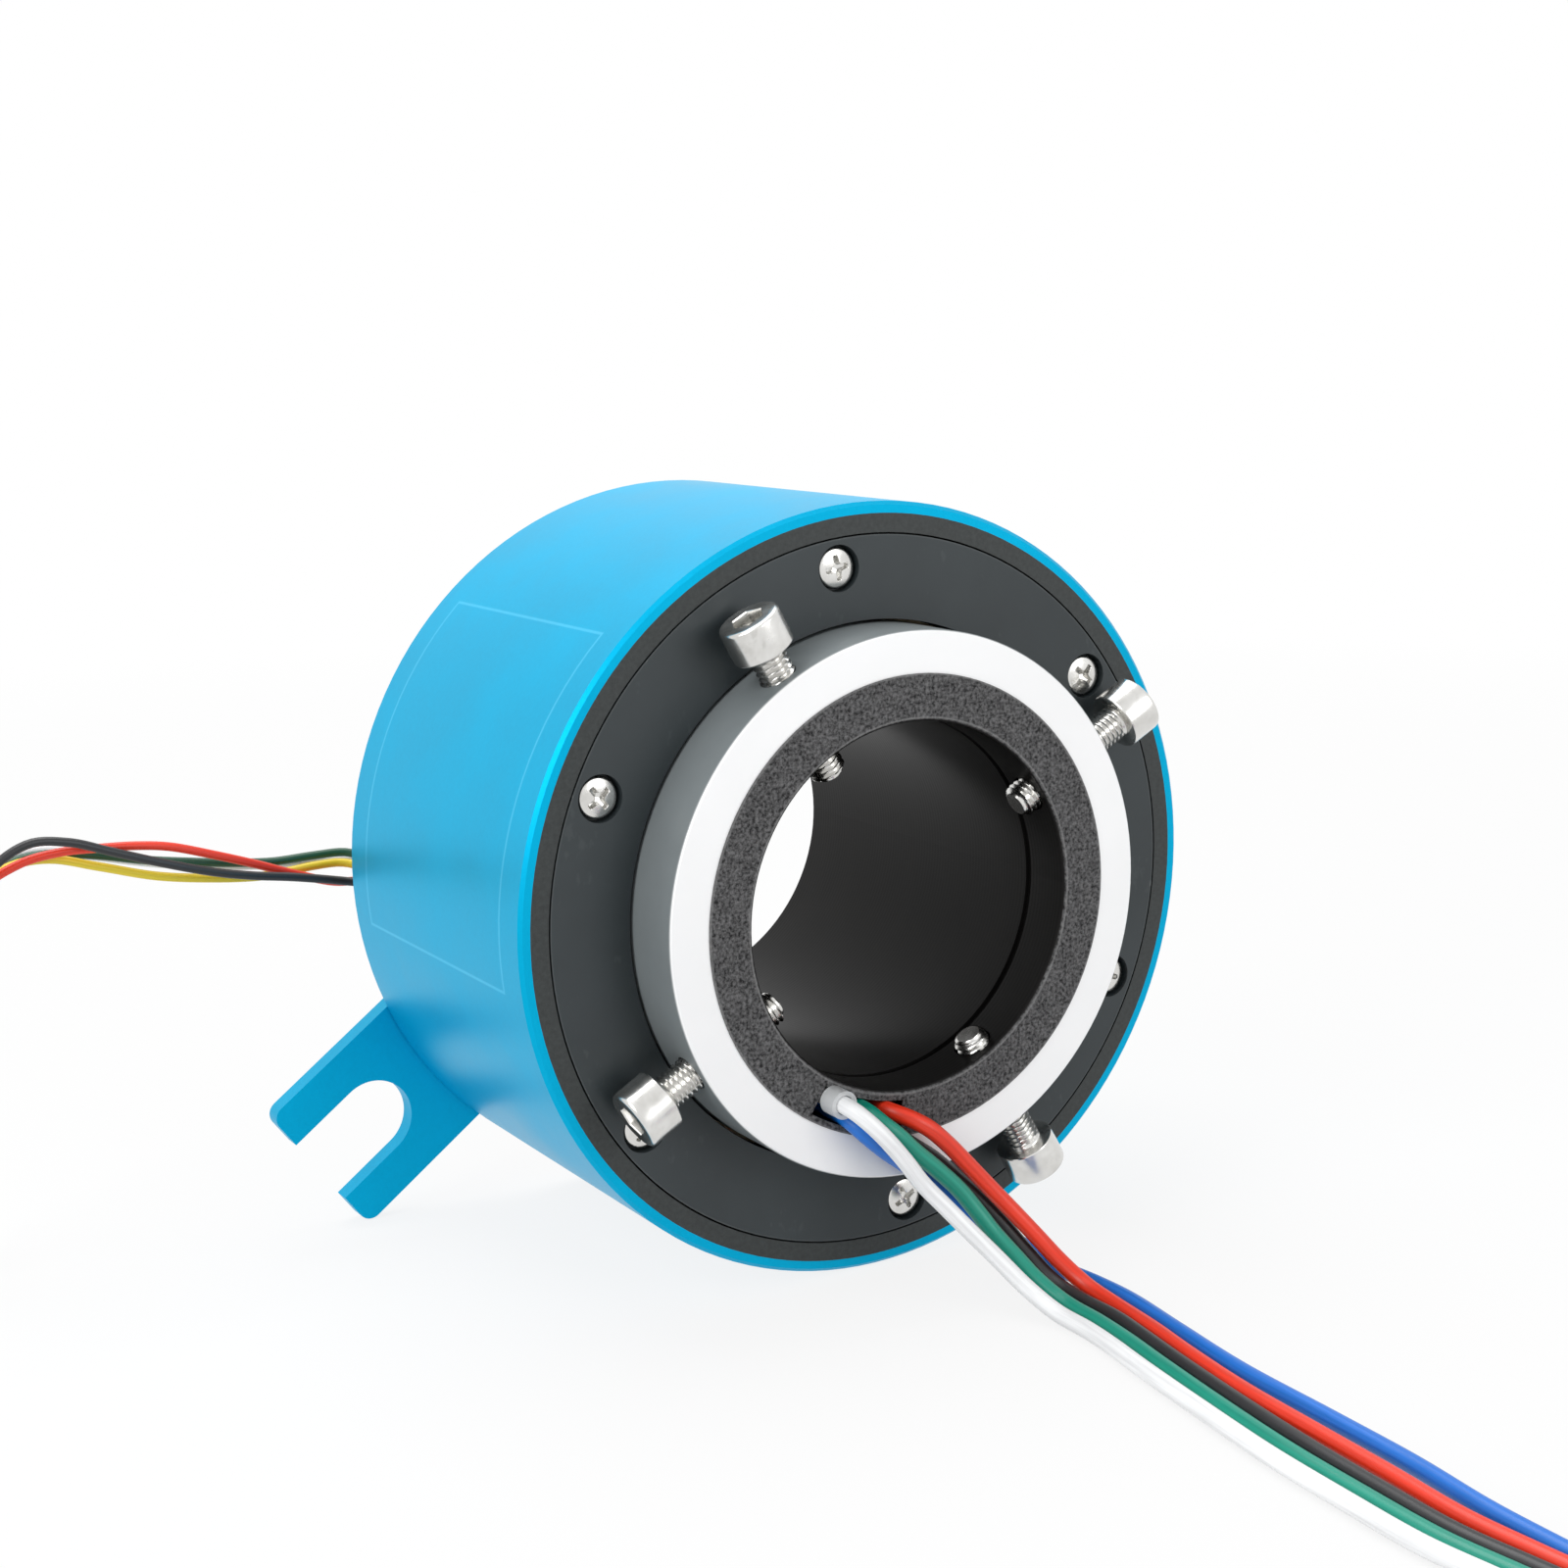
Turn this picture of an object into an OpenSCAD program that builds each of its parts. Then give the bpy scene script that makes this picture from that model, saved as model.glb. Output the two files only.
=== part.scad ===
// Through-bore slip ring, lying on its side.
// The bore axis runs along Y: the rotor collar faces -Y and the torque tab stands at the +Y end.
// The origin is on the bore axis, in the plane of the front cover.

/* [Housing] */
// Outside diameter of the barrel
housing_d = 108; // [107.5:0.5:114]
// Width of the barrel's end rim around the black flange
rim_w = 1.6; // [1.2:0.1:2.4]
// Wall of the barrel between the two end seats
barrel_wall = 4; // [3:0.1:4.5]
// Edge chamfer at both ends of the barrel
rim_chamfer = 0.5; // [0.2:0.1:1]

/* [Rotor sleeve] */
// Bore for the shaft
bore_d = 50.8; // [46:0.1:51.6]
// Outside diameter of the sleeve at its front end
sleeve_d = 63.6; // [63.4:0.1:64.2]
// How far the sleeve stands out of the front cover
sleeve_out = 10; // [9:0.1:10.3]
// Step up from the front end to the bearing seat
seat_step = 0.7; // [0.4:0.1:1]
// How far the sleeve ends short of the rear face
sleeve_short = 0.4; // [0.2:0.1:1.5]
// Depth of the groove that the leads run in
lead_groove_w = 4.2; // [4.2:0.1:4.4]

/* [Clamp collar] */
// Outside diameter of the collar
collar_d = 75.2; // [73:0.1:78]
// How far the collar's face lies behind the sleeve's face
collar_set = 0.2; // [0:0.1:0.6]
// Distance of the clamp screws in front of the cover
clamp_out = 5.8; // [4.6:0.1:6.2]
// Angle of the first clamp screw
clamp_angle = 119.5; // [110:0.5:125]

/* [Clamp screws] */
// Thread diameter
clamp_screw_d = 5; // [4:0.5:5]
// Length under the head
clamp_screw_len = 20; // [18:0.5:22]
// Head diameter
clamp_head_d = 8.5; // [7:0.1:9]
// Head height
clamp_head_h = 5; // [4:0.1:5.5]
// Free thread between the collar and the head
clamp_free = 3.9; // [1:0.1:6]
// Width across the flats of the key socket
clamp_key_w = 4; // [3:0.5:4.5]
// Radial clearance of the thread in its hole
thread_gap = 0.1; // [0.05:0.01:0.15]

/* [Bearings] */
// Radial height of a bearing, bore to outside
bearing_h = 10; // [9.6:0.1:10.4]
// Width of a bearing
bearing_w = 10; // [8:0.5:12]
// Ball diameter
ball_d = 4.8; // [4:0.1:5]
// Number of balls in a bearing
ball_n = 22; // [16:1:24]
// Clearance of a ball in its track
ball_gap = 0.05; // [0.03:0.01:0.1]

/* [Ring stack] */
// Width of a conductor ring
ring_w = 3.4; // [3:0.1:4.5]
// Radial height of a conductor ring
ring_h = 5; // [3.5:0.1:5.4]
// Width of an insulating barrier
barrier_w = 1.6; // [1.2:0.1:2.4]
// How far a barrier stands above the rings
barrier_out = 2; // [1:0.1:2.2]
// Height of the insulating foot below a ring
foot_h = 1.5; // [1:0.1:1.6]

/* [Front flange and cover] */
// Thickness of the front cover
cover_t = 4; // [3.4:0.1:6]
// Width of the black ring around the cover
flange_rim_w = 2.6; // [2:0.1:3]
// Gap between the cover and the ring around it
cover_seam = 0.25; // [0.1:0.05:0.4]
// Running gap between the cover and the collar
collar_gap = 0.5; // [0.3:0.1:1]
// Lip that holds the front bearing
lip_t = 1; // [0.8:0.1:2]
// Number of cover screws
cover_screw_n = 6; // [3:1:6]
// Angle of the first cover screw
cover_screw_angle = 96.5; // [90:0.5:100]

/* [Cover screws] */
// Thread diameter
cover_screw_d = 3; // [2.5:0.1:3]
// Length under the head
cover_screw_len = 8; // [6:0.5:10]
// Head diameter
cover_head_d = 5.6; // [5:0.1:5.8]
// Head height
cover_head_h = 1.9; // [1.6:0.1:2.2]
// Depth of the head below the face
head_sink = 0.3; // [0:0.1:0.5]
// Radial gap around a sunk head
head_gap = 0.4; // [0.2:0.1:0.5]

/* [Rear plate] */
// Thickness of the rear wall behind the bearing
rear_wall = 5.4; // [5:0.1:8]
// Running gap between the rear plate and the rotor
rear_gap = 0.6; // [0.4:0.1:1]
// Thickness of the retaining ring
clip_t = 1.2; // [1:0.1:1.5]
// Depth of the retaining ring's groove
clip_deep = 1; // [0.6:0.1:1.2]
// How far the retaining ring stands out of the sleeve
clip_out = 2.5; // [1.5:0.1:3]

/* [Torque tab] */
// Thickness of the tab
tab_t = 3; // [2:0.1:5]
// Width of the tab
tab_w = 24; // [20:0.5:25]
// Reach of the tab from the bore axis
tab_reach = 75.9; // [74:0.1:90]
// Width of the slot
slot_w = 12; // [8:0.5:14]
// Distance of the closed end of the slot from the bore axis
slot_end = 59; // [58:0.5:64]
// Radius of the tab's corners
tab_corner = 2; // [0.5:0.1:3]
// Angle of the tab
tab_angle = -143.5; // [-145:0.5:-142]

/* [Brush block] */
// Radial height of the block
block_h = 5.6; // [5:0.1:5.8]
// Angle that the block covers
block_arc = 26; // [24:1:30]
// Angle of the block
block_angle = 183; // [181:0.5:185]
// Diameter of a brush wire
brush_d = 0.8; // [0.5:0.1:1]
// Gap between a brush wire and its ring
brush_gap = 0.1; // [0.05:0.01:0.2]
// Thread diameter of the tie screws
tie_d = 3; // [2.5:0.1:3]
// Head diameter of the tie screws
tie_head_d = 5.5; // [5:0.1:5.5]

/* [Leads] */
// Diameter of a rotor lead
rotor_lead_d = 2.4; // [2:0.1:2.4]
// Diameter of a stator lead
stator_lead_d = 1.3; // [1:0.1:1.3]
// Outside diameter of the grommet
grommet_d = 6; // [5.6:0.1:6]

/* [Hidden] */

$fn = 96;
e = 0.01;
housing_r = housing_d / 2;
seat_r = housing_r - rim_w;
barrel_r = housing_r - barrel_wall;
bore_r = bore_d / 2;
sleeve_r = sleeve_d / 2;
step_r = sleeve_r + seat_step;
bearing_r = step_r + bearing_h;
ball_r = ball_d / 2;
ball_pitch_r = (step_r + bearing_r) / 2;
track_r = ball_r + ball_gap;
race_h = (bearing_h - ball_d) / 2 + ball_d * 0.22;
cage_h = ball_d / 3;
cage_w = ball_d * 1.5;
pocket_r = ball_r + 0.1;
collar_r = collar_d / 2;
cover_r = seat_r - flange_rim_w - cover_seam;
cover_bore_r = collar_r + collar_gap;
lip_r = bearing_r - 2;

front_bearing_y = cover_t + lip_t;
stack_y = front_bearing_y + bearing_w;
ring_pitch = ring_w + barrier_w;
ring_n = 5;
stack_len = ring_n * ring_pitch + barrier_w;
rear_bearing_y = stack_y + stack_len;
plate_y = rear_bearing_y + bearing_w;
housing_len = plate_y + rear_wall;
clip_room = 0.4;
clip_room_r = ball_pitch_r + 1.5;
foot_r = step_r + foot_h;
ring_r = foot_r + ring_h;
barrier_r = ring_r + barrier_out;

// Cover screws sit in the flange wall between the bearing seat and the barrel.
cover_screw_r = bearing_r + 3.1;
cover_screw_seat = head_sink + cover_head_h;
tie_r = bearing_r + 4.3;
tie_angle = 9;
tie_grip = 7;
tie_head_h = 3;
tie_sink = 0.2;
tab_screw_d = 4;
tab_screw_r = tie_r - 0.6;
tab_screw_angle = 9;
tab_screw_len = 6;
tab_screw_head_d = 7;
tab_screw_head_h = 2.4;
tab_inner = bearing_r - 1.5;

block_r1 = tie_r + 2.5;
block_r0 = block_r1 - block_h;
block_end = 1;
block_y0 = stack_y + block_end;
block_len = stack_len - 2 * block_end;
block_y1 = block_y0 + block_len;
brush_start_r = block_r0 + 2;
track_deep = 0.3;
brush_track_r = brush_d / 2 + 0.2;
brush_touch_r = ring_r + track_deep - brush_track_r + brush_gap + brush_d / 2;
brush_turn = acos(brush_touch_r / brush_start_r);
brush_over = 3;

// Centre of conductor ring k along the axis, and the inner end of its lead.
function ring_y(k) = stack_y + barrier_w + ring_w / 2 + k * ring_pitch;
function lead_y(k) = ring_y(k) + lead_past_pin;

// Leads run in a groove of the sleeve, two staggered rows deep.
groove_r0 = 26.7;
groove_r1 = groove_r0 + lead_groove_w;
groove_a0 = -123;
groove_a1 = -94.5;
pin_d = 1.4;
pin_gap = 0.05;
lead_past_pin = 1.5;
grommet_r = tie_r;
grommet_head = 1;
lead_sleeve_len = 3;
lead_sleeve_wall = 0.6;
lead_sleeve_gap = 0.15;

// Route points of the rotor leads, from their rings to the coil in front.
white_route = [
    [-13.5, lead_y(0), -24.5], [-13.5, 5, -24.5], [-13.5, -4, -24.5], [-13.5, -9, -24.5],
    [-13.5, -12.6, -24.5], [-12.7, -15.2, -25.3], [-10.3, -16.9, -28], [-7, -17.2, -32],
    [-4, -17.2, -36], [-1, -18, -39.5], [1.7, -20, -43], [4.2, -23, -46.5],
    [6.5, -26.5, -50], [8.2, -31, -52.4], [8.6, -37, -52.8], [8, -43, -52.8],
    [6.8, -51, -52.8], [5.3, -63, -52.8], [3.8, -77, -52.8], [3.2, -90, -52.8],
    [3, -102, -52.8], [4.2, -112, -52.8], [5, -120, -52.8], [5, -126.1, -52.8]
];
blue_route = [
    [-11.5, lead_y(1), -27.3], [-11.5, 5, -27.3], [-11.5, -3, -27.3], [-11.5, -9, -27.3],
    [-11.2, -11.4, -27.9], [-9.8, -13, -29.6], [-6.9, -13.2, -32.2], [-3.2, -12.6, -35],
    [0.3, -12.1, -38], [3.9, -12.2, -41.8], [8, -12.3, -45.6], [12.4, -13.7, -48.2],
    [15.5, -16, -50.3], [18, -20, -52.3], [19.4, -25.5, -52.8], [19.5, -33, -52.8],
    [18.2, -44, -52.8], [16.7, -58, -52.8], [16.4, -74, -52.8], [16, -88, -52.8],
    [14.9, -100, -52.8], [14.8, -110, -52.8], [15, -114.5, -52.8], [15, -117.1, -52.8]
];
green_route = [
    [-9, lead_y(2), -26.5], [-9, 5, -26.5], [-9, -4, -26.5], [-9, -9, -26.5],
    [-8.9, -11.8, -26.7], [-8, -13.9, -27.9], [-6.2, -14.9, -29.6], [-3.7, -15.2, -32.2],
    [-0.6, -15.5, -35.1], [2.5, -16.2, -38.3], [4.7, -17.4, -41.5], [6.4, -19.2, -44.6],
    [8, -21.8, -47.4], [9.5, -25, -50.2], [11, -29.5, -52.4], [11.3, -36, -52.8],
    [10.6, -43, -52.8], [9.4, -51, -52.8], [7.8, -63, -52.8], [6.3, -77, -52.8],
    [5.7, -90, -52.8], [5.5, -102, -52.8], [6.7, -112, -52.8], [7.5, -118, -52.8],
    [7.5, -122.5, -52.8]
];
black_route = [
    [-7.5, lead_y(3), -28.5], [-7.5, 5, -28.5], [-7.5, -3, -28.5], [-7.5, -8.6, -28.5],
    [-7, -10.9, -28.9], [-5, -12.2, -30.4], [-2.2, -12.5, -32.5], [1.2, -12.3, -35],
    [4.4, -12.9, -38.1], [7.6, -14, -41.4], [10, -16.2, -45], [11.8, -19, -48.4],
    [13.2, -23, -51.5], [14, -28, -52.8], [14, -36, -52.8], [13.1, -43, -52.8],
    [11.9, -51, -52.8], [10.4, -63, -52.8], [9, -77, -52.8], [8.3, -90, -52.8], [8, -102, -52.8],
    [9.2, -112, -52.8], [10, -118, -52.8], [10, -120.1, -52.8]
];
red_route = [
    [-5, lead_y(4), -27.5], [-5, 5, -27.5], [-5, -4, -27.5], [-5, -8, -27.5],
    [-4.6, -10.8, -27.6], [-2.8, -12.8, -28.4], [-0.4, -13.9, -30], [2.4, -14.4, -32.7],
    [5.2, -15.2, -36], [8, -16.2, -39.4], [10.7, -17.7, -42.8], [13, -19.9, -46.1],
    [15, -22.9, -49.4], [16.6, -26.9, -52], [16.8, -33, -52.8], [15.8, -42, -52.8],
    [14.4, -51, -52.8], [13, -63, -52.8], [12.4, -76, -52.8], [11.9, -88, -52.8],
    [11.2, -100, -52.8], [11.9, -110, -52.8], [12.5, -116, -52.8], [12.5, -118.4, -52.8]
];

// Route points of the stator leads, from the brush block to the coil behind.
stator_white_route = [
    [-45.5, block_y1, -2], [-45.5, 50, -2], [-45.5, 58, -2], [-45.5, 64.5, -2],
    [-46.7, 67.6, -1.8], [-50, 69.4, -1.4], [-56, 69.5, -1], [-64, 69.5, -0.5],
    [-72, 69.5, 0.5], [-80, 69.5, 2], [-88, 69.5, 4], [-95, 69.5, 5.8],
    [-101, 69.5, 5], [-107, 69.5, 1.5], [-112, 69.5, -6], [-115.5, 69.5, -16],
    [-118, 69.5, -28], [-121, 69.5, -40], [-126, 69.5, -49.5], [-132, 69.5, -53.1],
    [-138.5, 69.5, -53.3]
];
stator_red_route = [
    [-46.2, block_y1, -3.8], [-46.2, 50, -3.8], [-46.2, 56, -3.8], [-46.2, 60, -3.8],
    [-47.2, 63, -3.8], [-49.8, 64.8, -3.8], [-54, 65, -3.4], [-60, 65, -1.4],
    [-66, 65, 0.9], [-72, 65, 3], [-78, 65, 4.9], [-83, 65, 5.7],
    [-88, 65, 6], [-94, 65, 6.1], [-100, 65, 5], [-106, 65, 1.5],
    [-111, 65, -6], [-114.5, 65, -16], [-117, 65, -28], [-120, 65, -40],
    [-125, 65, -49.5], [-132, 65, -53.1], [-142.5, 65, -53.3]
];
stator_green_route = [
    [-47, block_y1, -1], [-47, 50, -1], [-47, 58, -1], [-47, 63, -1],
    [-48.2, 66, -0.6], [-51, 67.7, 0.2], [-56, 68, 0.2], [-62, 68, 0.1],
    [-68, 68, 0.7], [-74, 68, 1.6], [-81, 68, 2.8], [-88, 68, 4.4],
    [-95, 68, 5.4], [-101, 68, 4.5], [-107, 68, 1], [-112, 68, -6],
    [-115.5, 68, -16], [-118, 68, -28], [-121, 68, -40], [-126, 68, -49.5],
    [-133, 68, -53.1], [-139.4, 68, -53.3]
];
stator_yellow_route = [
    [-48.5, block_y1, -2], [-48.5, 50, -2], [-48.5, 57, -2], [-48.5, 61.5, -2],
    [-49.4, 64.5, -1.6], [-52, 66.3, -1], [-56, 66.5, -1], [-60, 66.5, -1.3],
    [-65, 66.5, -1.5], [-72, 66.5, -0.8], [-80, 66.5, 0.6], [-88, 66.5, 3],
    [-95, 66.5, 5], [-101, 66.5, 4.5], [-107, 66.5, 1], [-112, 66.5, -6],
    [-115.5, 66.5, -16], [-118, 66.5, -28], [-121, 66.5, -40], [-126, 66.5, -49.5],
    [-133, 66.5, -53.1], [-140.7, 66.5, -53.3]
];
stator_black_route = [
    [-48.3, block_y1, -3.8], [-48.3, 50, -3.8], [-48.3, 55, -3.8], [-48.3, 58.5, -3.8],
    [-49.2, 61.6, -3.7], [-51.8, 63.3, -3.4], [-56, 63.5, -2.5], [-61, 63.5, -1.5],
    [-67, 63.5, -0.5], [-73, 63.5, 0.9], [-80, 63.5, 3.1], [-87, 63.5, 5.6],
    [-93, 63.5, 7.7], [-99, 63.5, 8], [-105, 63.5, 4], [-110, 63.5, -4],
    [-113.5, 63.5, -15], [-116, 63.5, -28], [-119, 63.5, -40], [-124, 63.5, -49.5],
    [-131, 63.5, -53.1], [-145.3, 63.5, -53.3]
];

// Closed outer shapes of the two coils of spare lead, lying on the floor.
floor_z = -54;
rotor_coil = [24, -136];
rotor_coil_r = 14;
rotor_coil_w = 12.6;
rotor_coil_h = 5;
stator_coil = [-150, 75.5];
stator_coil_r = 9;
stator_coil_w = 7.6;
stator_coil_h = 5.4;

// A point of the smooth curve through four route points, t from 0 to 1.
function blend(a, b, c, d, t) =
    0.5 * (2 * b + (c - a) * t + (2 * a - 5 * b + 4 * c - d) * t * t
        + (3 * b - a - 3 * c + d) * t * t * t);

// A route with one more end point on each side, for the curve's end slopes.
function with_ends(p) = let (n = len(p)) concat([2 * p[0] - p[1]], p, [2 * p[n - 1] - p[n - 2]]);

// The smooth curve through a route, with steps points to each stretch.
function smooth(p, steps) =
    let (q = with_ends(p))
    concat(
        [for (i = [1 : len(q) - 3]) for (k = [0 : steps - 1])
            blend(q[i - 1], q[i], q[i + 1], q[i + 2], k / steps)],
        [p[len(p) - 1]]
    );

function unit(v) = v / norm(v);

// Direction of travel at point i of a curve.
function heading(c, i) = unit(c[min(i + 1, len(c) - 1)] - c[max(i - 1, 0)]);

// A side vector for each point, carried along the curve without twist.
function sides(c, i = 0, s = [0, 0, 1], out = []) =
    i == len(c) ? out :
    let (t = heading(c, i), u = unit(s - (s * t) * t))
    sides(c, i + 1, u, concat(out, [u]));

// A round tube along a route.
module tube(route, d, steps = 3, n = 8) {
    curve = smooth(route, steps);
    side = sides(curve);
    rings = len(curve);
    r = d / 2;
    points = [for (i = [0 : rings - 1]) let (u = side[i], v = cross(heading(curve, i), u))
        for (k = [0 : n - 1]) curve[i] + r * (cos(360 * k / n) * u + sin(360 * k / n) * v)];
    walls = [for (i = [0 : rings - 2]) for (k = [0 : n - 1])
        [i * n + k, (i + 1) * n + k, (i + 1) * n + (k + 1) % n, i * n + (k + 1) % n]];
    first = [[for (k = [0 : n - 1]) k]];
    last = [[for (k = [n - 1 : -1 : 0]) (rings - 1) * n + k]];
    polyhedron(points, concat(walls, first, last), convexity = 8);
}

// Turns local Z to +Y; local X then stands at angle a around the bore axis.
module around(a = 0) {
    rotate([-90, 0, 0]) rotate([0, 0, -a]) children();
}

// Places children at angle a and radius r, their Z along +Y from y.
module place(a, r, y) {
    around(a) translate([r, 0, y]) children();
}

// A plain ring from y0 to y1.
module ring(r0, r1, y0, y1) {
    around() translate([0, 0, y0]) rotate_extrude() translate([r0, 0]) square([r1 - r0, y1 - y0]);
}

// An arc of a ring between two angles.
module sector(r0, r1, y0, y1, a0, a1) {
    around(a1) translate([0, 0, y0])
        rotate_extrude(angle = a1 - a0) translate([r0, 0]) square([r1 - r0, y1 - y0]);
}

// Housing: the plain barrel with a seat at each end.
module housing() {
    color("deepskyblue") around() rotate_extrude() polygon([
        [seat_r, 0], [housing_r - rim_chamfer, 0], [housing_r, rim_chamfer],
        [housing_r, housing_len - rim_chamfer], [housing_r - rim_chamfer, housing_len],
        [seat_r, housing_len], [seat_r, rear_bearing_y], [barrel_r, rear_bearing_y],
        [barrel_r, stack_y], [seat_r, stack_y]
    ]);
}

// Flange that carries the front bearing and takes the cover screws.
module front_flange() {
    color("dimgray") difference() {
        around() rotate_extrude() polygon([
            [cover_r + cover_seam, 0], [seat_r, 0], [seat_r, stack_y], [bearing_r, stack_y],
            [bearing_r, front_bearing_y], [lip_r, front_bearing_y], [lip_r, cover_t],
            [cover_r + cover_seam, cover_t]
        ]);
        cover_screw_places() cylinder(r = cover_screw_d / 2, h = cover_screw_seat + cover_screw_len + 1);
        tie_places() translate([0, 0, stack_y - tie_grip - 1]) cylinder(r = tie_d / 2, h = tie_grip + 2);
    }
}

module cover_screw_places() {
    for (k = [0 : cover_screw_n - 1])
        place(cover_screw_angle - k * 360 / cover_screw_n, cover_screw_r, 0) children();
}

// Front cover with its sunk screw holes.
module front_cover() {
    color("darkslategray") difference() {
        ring(cover_bore_r, cover_r, 0, cover_t);
        cover_screw_places() {
            translate([0, 0, -1]) cylinder(r = cover_screw_d / 2 + 0.2, h = cover_t + 2);
            translate([0, 0, -1]) cylinder(r = cover_head_d / 2 + head_gap, h = cover_screw_seat + 1);
        }
    }
}

// A cross recess that opens at z = 0 and narrows as it goes down.
module cross_recess(w, deep) {
    for (a = [0, 90])
        rotate([0, 0, a]) translate([-w / 2, -w / 8, -1]) cube([w, w / 4, deep + 1]);
}

// Cover screws, all alike.
module cover_screws() {
    crown = 0.5;
    color("silver") cover_screw_places() difference() {
        union() {
            translate([0, 0, head_sink])
                cylinder(r1 = cover_head_d / 2 - crown, r2 = cover_head_d / 2, h = crown);
            translate([0, 0, head_sink + crown])
                cylinder(r = cover_head_d / 2, h = cover_head_h - crown);
            translate([0, 0, cover_screw_seat - e]) cylinder(r = cover_screw_d / 2, h = cover_screw_len);
        }
        translate([0, 0, head_sink]) cross_recess(cover_head_d * 0.62, cover_head_h * 0.6);
    }
}

// Rear plate: rear bearing seat, end wall and passages for screws and leads.
module rear_plate() {
    clip_y = plate_y + clip_t + clip_room;
    plate_w = bearing_w + rear_wall;
    color("dimgray") difference() {
        around() rotate_extrude() polygon([
            [bearing_r, rear_bearing_y], [seat_r, rear_bearing_y], [seat_r, housing_len],
            [step_r + rear_gap, housing_len], [step_r + rear_gap, clip_y],
            [clip_room_r, clip_y], [clip_room_r, plate_y], [bearing_r, plate_y]
        ]);
        tie_places() {
            translate([0, 0, rear_bearing_y - 1]) cylinder(r = tie_d / 2 + 0.15, h = plate_w + 2);
            translate([0, 0, housing_len - tie_head_h - tie_sink])
                cylinder(r = tie_head_d / 2 + 0.3, h = tie_head_h + 1);
        }
        place(block_angle, grommet_r, rear_bearing_y - 1) cylinder(r = grommet_d / 2, h = plate_w + 2);
        tab_screw_places() translate([0, 0, -tab_screw_len - 1])
            cylinder(r = tab_screw_d / 2, h = tab_screw_len + 2);
    }
}

module tie_places() {
    for (s = [-1, 1]) place(block_angle + s * tie_angle, tie_r, 0) children();
    for (s = [-1, 1]) place(block_angle + 180 + s * tie_angle, tie_r, 0) children();
}

// Long screws that draw the rear plate and the front flange together.
module tie_screws() {
    color("silver") tie_places() difference() {
        union() {
            translate([0, 0, stack_y - tie_grip])
                cylinder(r = tie_d / 2, h = housing_len - tie_head_h - stack_y + tie_grip);
            translate([0, 0, housing_len - tie_head_h - tie_sink])
                cylinder(r = tie_head_d / 2, h = tie_head_h);
        }
        translate([0, 0, housing_len - 1.8]) cylinder(r = tie_d * 0.48, h = 2, $fn = 6);
    }
}

module tab_screw_places() {
    for (s = [-1, 1]) place(tab_angle + s * tab_screw_angle, tab_screw_r, housing_len) children();
}

// Forked tab on the rear face that stops the housing from turning.
module torque_tab() {
    slot_r = slot_w / 2;
    square_end = tab_reach - tab_corner;
    color("deepskyblue") difference() {
        around(tab_angle) translate([0, 0, housing_len]) {
            translate([tab_inner, -tab_w / 2, 0]) cube([square_end - tab_inner, tab_w, tab_t]);
            translate([tab_inner, tab_corner - tab_w / 2, 0])
                cube([tab_reach - tab_inner, tab_w - 2 * tab_corner, tab_t]);
            for (s = [-1, 1])
                translate([square_end, s * (tab_w / 2 - tab_corner), 0])
                    cylinder(r = tab_corner, h = tab_t);
        }
        around(tab_angle) translate([0, 0, housing_len - 1]) {
            translate([slot_end + slot_r, 0, 0]) cylinder(r = slot_r, h = tab_t + 2);
            translate([slot_end + slot_r, -slot_r, 0]) cube([tab_reach, slot_w, tab_t + 2]);
        }
        tab_screw_places() translate([0, 0, -1]) cylinder(r = tab_screw_d / 2 + 0.2, h = tab_t + 2);
    }
}

// The two screws of the torque tab.
module tab_screws() {
    color("silver") tab_screw_places() difference() {
        union() {
            translate([0, 0, -tab_screw_len])
                cylinder(r = tab_screw_d / 2, h = tab_screw_len + tab_t + 0.1);
            translate([0, 0, tab_t]) cylinder(r = tab_screw_head_d / 2, h = tab_screw_head_h);
        }
        translate([0, 0, tab_t + tab_screw_head_h]) mirror([0, 0, 1])
            cross_recess(tab_screw_head_d * 0.62, tab_screw_head_h * 0.6);
    }
}

// Rubber grommet that the stator leads leave through.
module lead_grommet() {
    stator_routes = [
        stator_white_route, stator_red_route, stator_green_route, stator_yellow_route,
        stator_black_route
    ];
    color("black") difference() {
        place(block_angle, grommet_r, rear_bearing_y) {
            cylinder(r = grommet_d / 2, h = bearing_w + rear_wall + grommet_head);
            translate([0, 0, bearing_w + rear_wall]) cylinder(r = grommet_d / 2 + 0.4, h = grommet_head);
        }
        for (route = stator_routes)
            translate([route[0][0], 0, route[0][2]]) rotate([-90, 0, 0])
                cylinder(r = stator_lead_d / 2 + 0.05, h = housing_len + 20);
    }
}

// Insulating block that holds the brush wires on the tie screws.
module brush_block() {
    color("ivory") difference() {
        sector(
            block_r0, block_r1, block_y0, block_y1,
            block_angle - block_arc / 2, block_angle + block_arc / 2
        );
        for (s = [-1, 1])
            place(block_angle + s * tie_angle, tie_r, block_y0 - 1)
                cylinder(r = tie_d / 2, h = block_len + 2);
        for (k = [0 : ring_n - 1]) brush_pair(k);
    }
}

// Two spring wires that leave the block and bear on the flanks of ring k.
module brush_pair(k) {
    reach = brush_start_r * sin(brush_turn) + brush_over;
    hold = 2;
    for (s = [-1, 1])
        place(block_angle + s * block_arc / 2, brush_start_r, ring_y(k))
            rotate([0, 0, -s * (90 + brush_turn)]) rotate([0, 90, 0])
                translate([0, 0, -hold]) cylinder(r = brush_d / 2, h = reach + hold);
}

module brush(k) {
    color("gold") brush_pair(k);
}

// Outer ring of a bearing whose near face is at y.
module bearing_outer(y) {
    color("gainsboro") difference() {
        ring(bearing_r - race_h, bearing_r, y, y + bearing_w);
        ball_track(y);
    }
}

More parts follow.
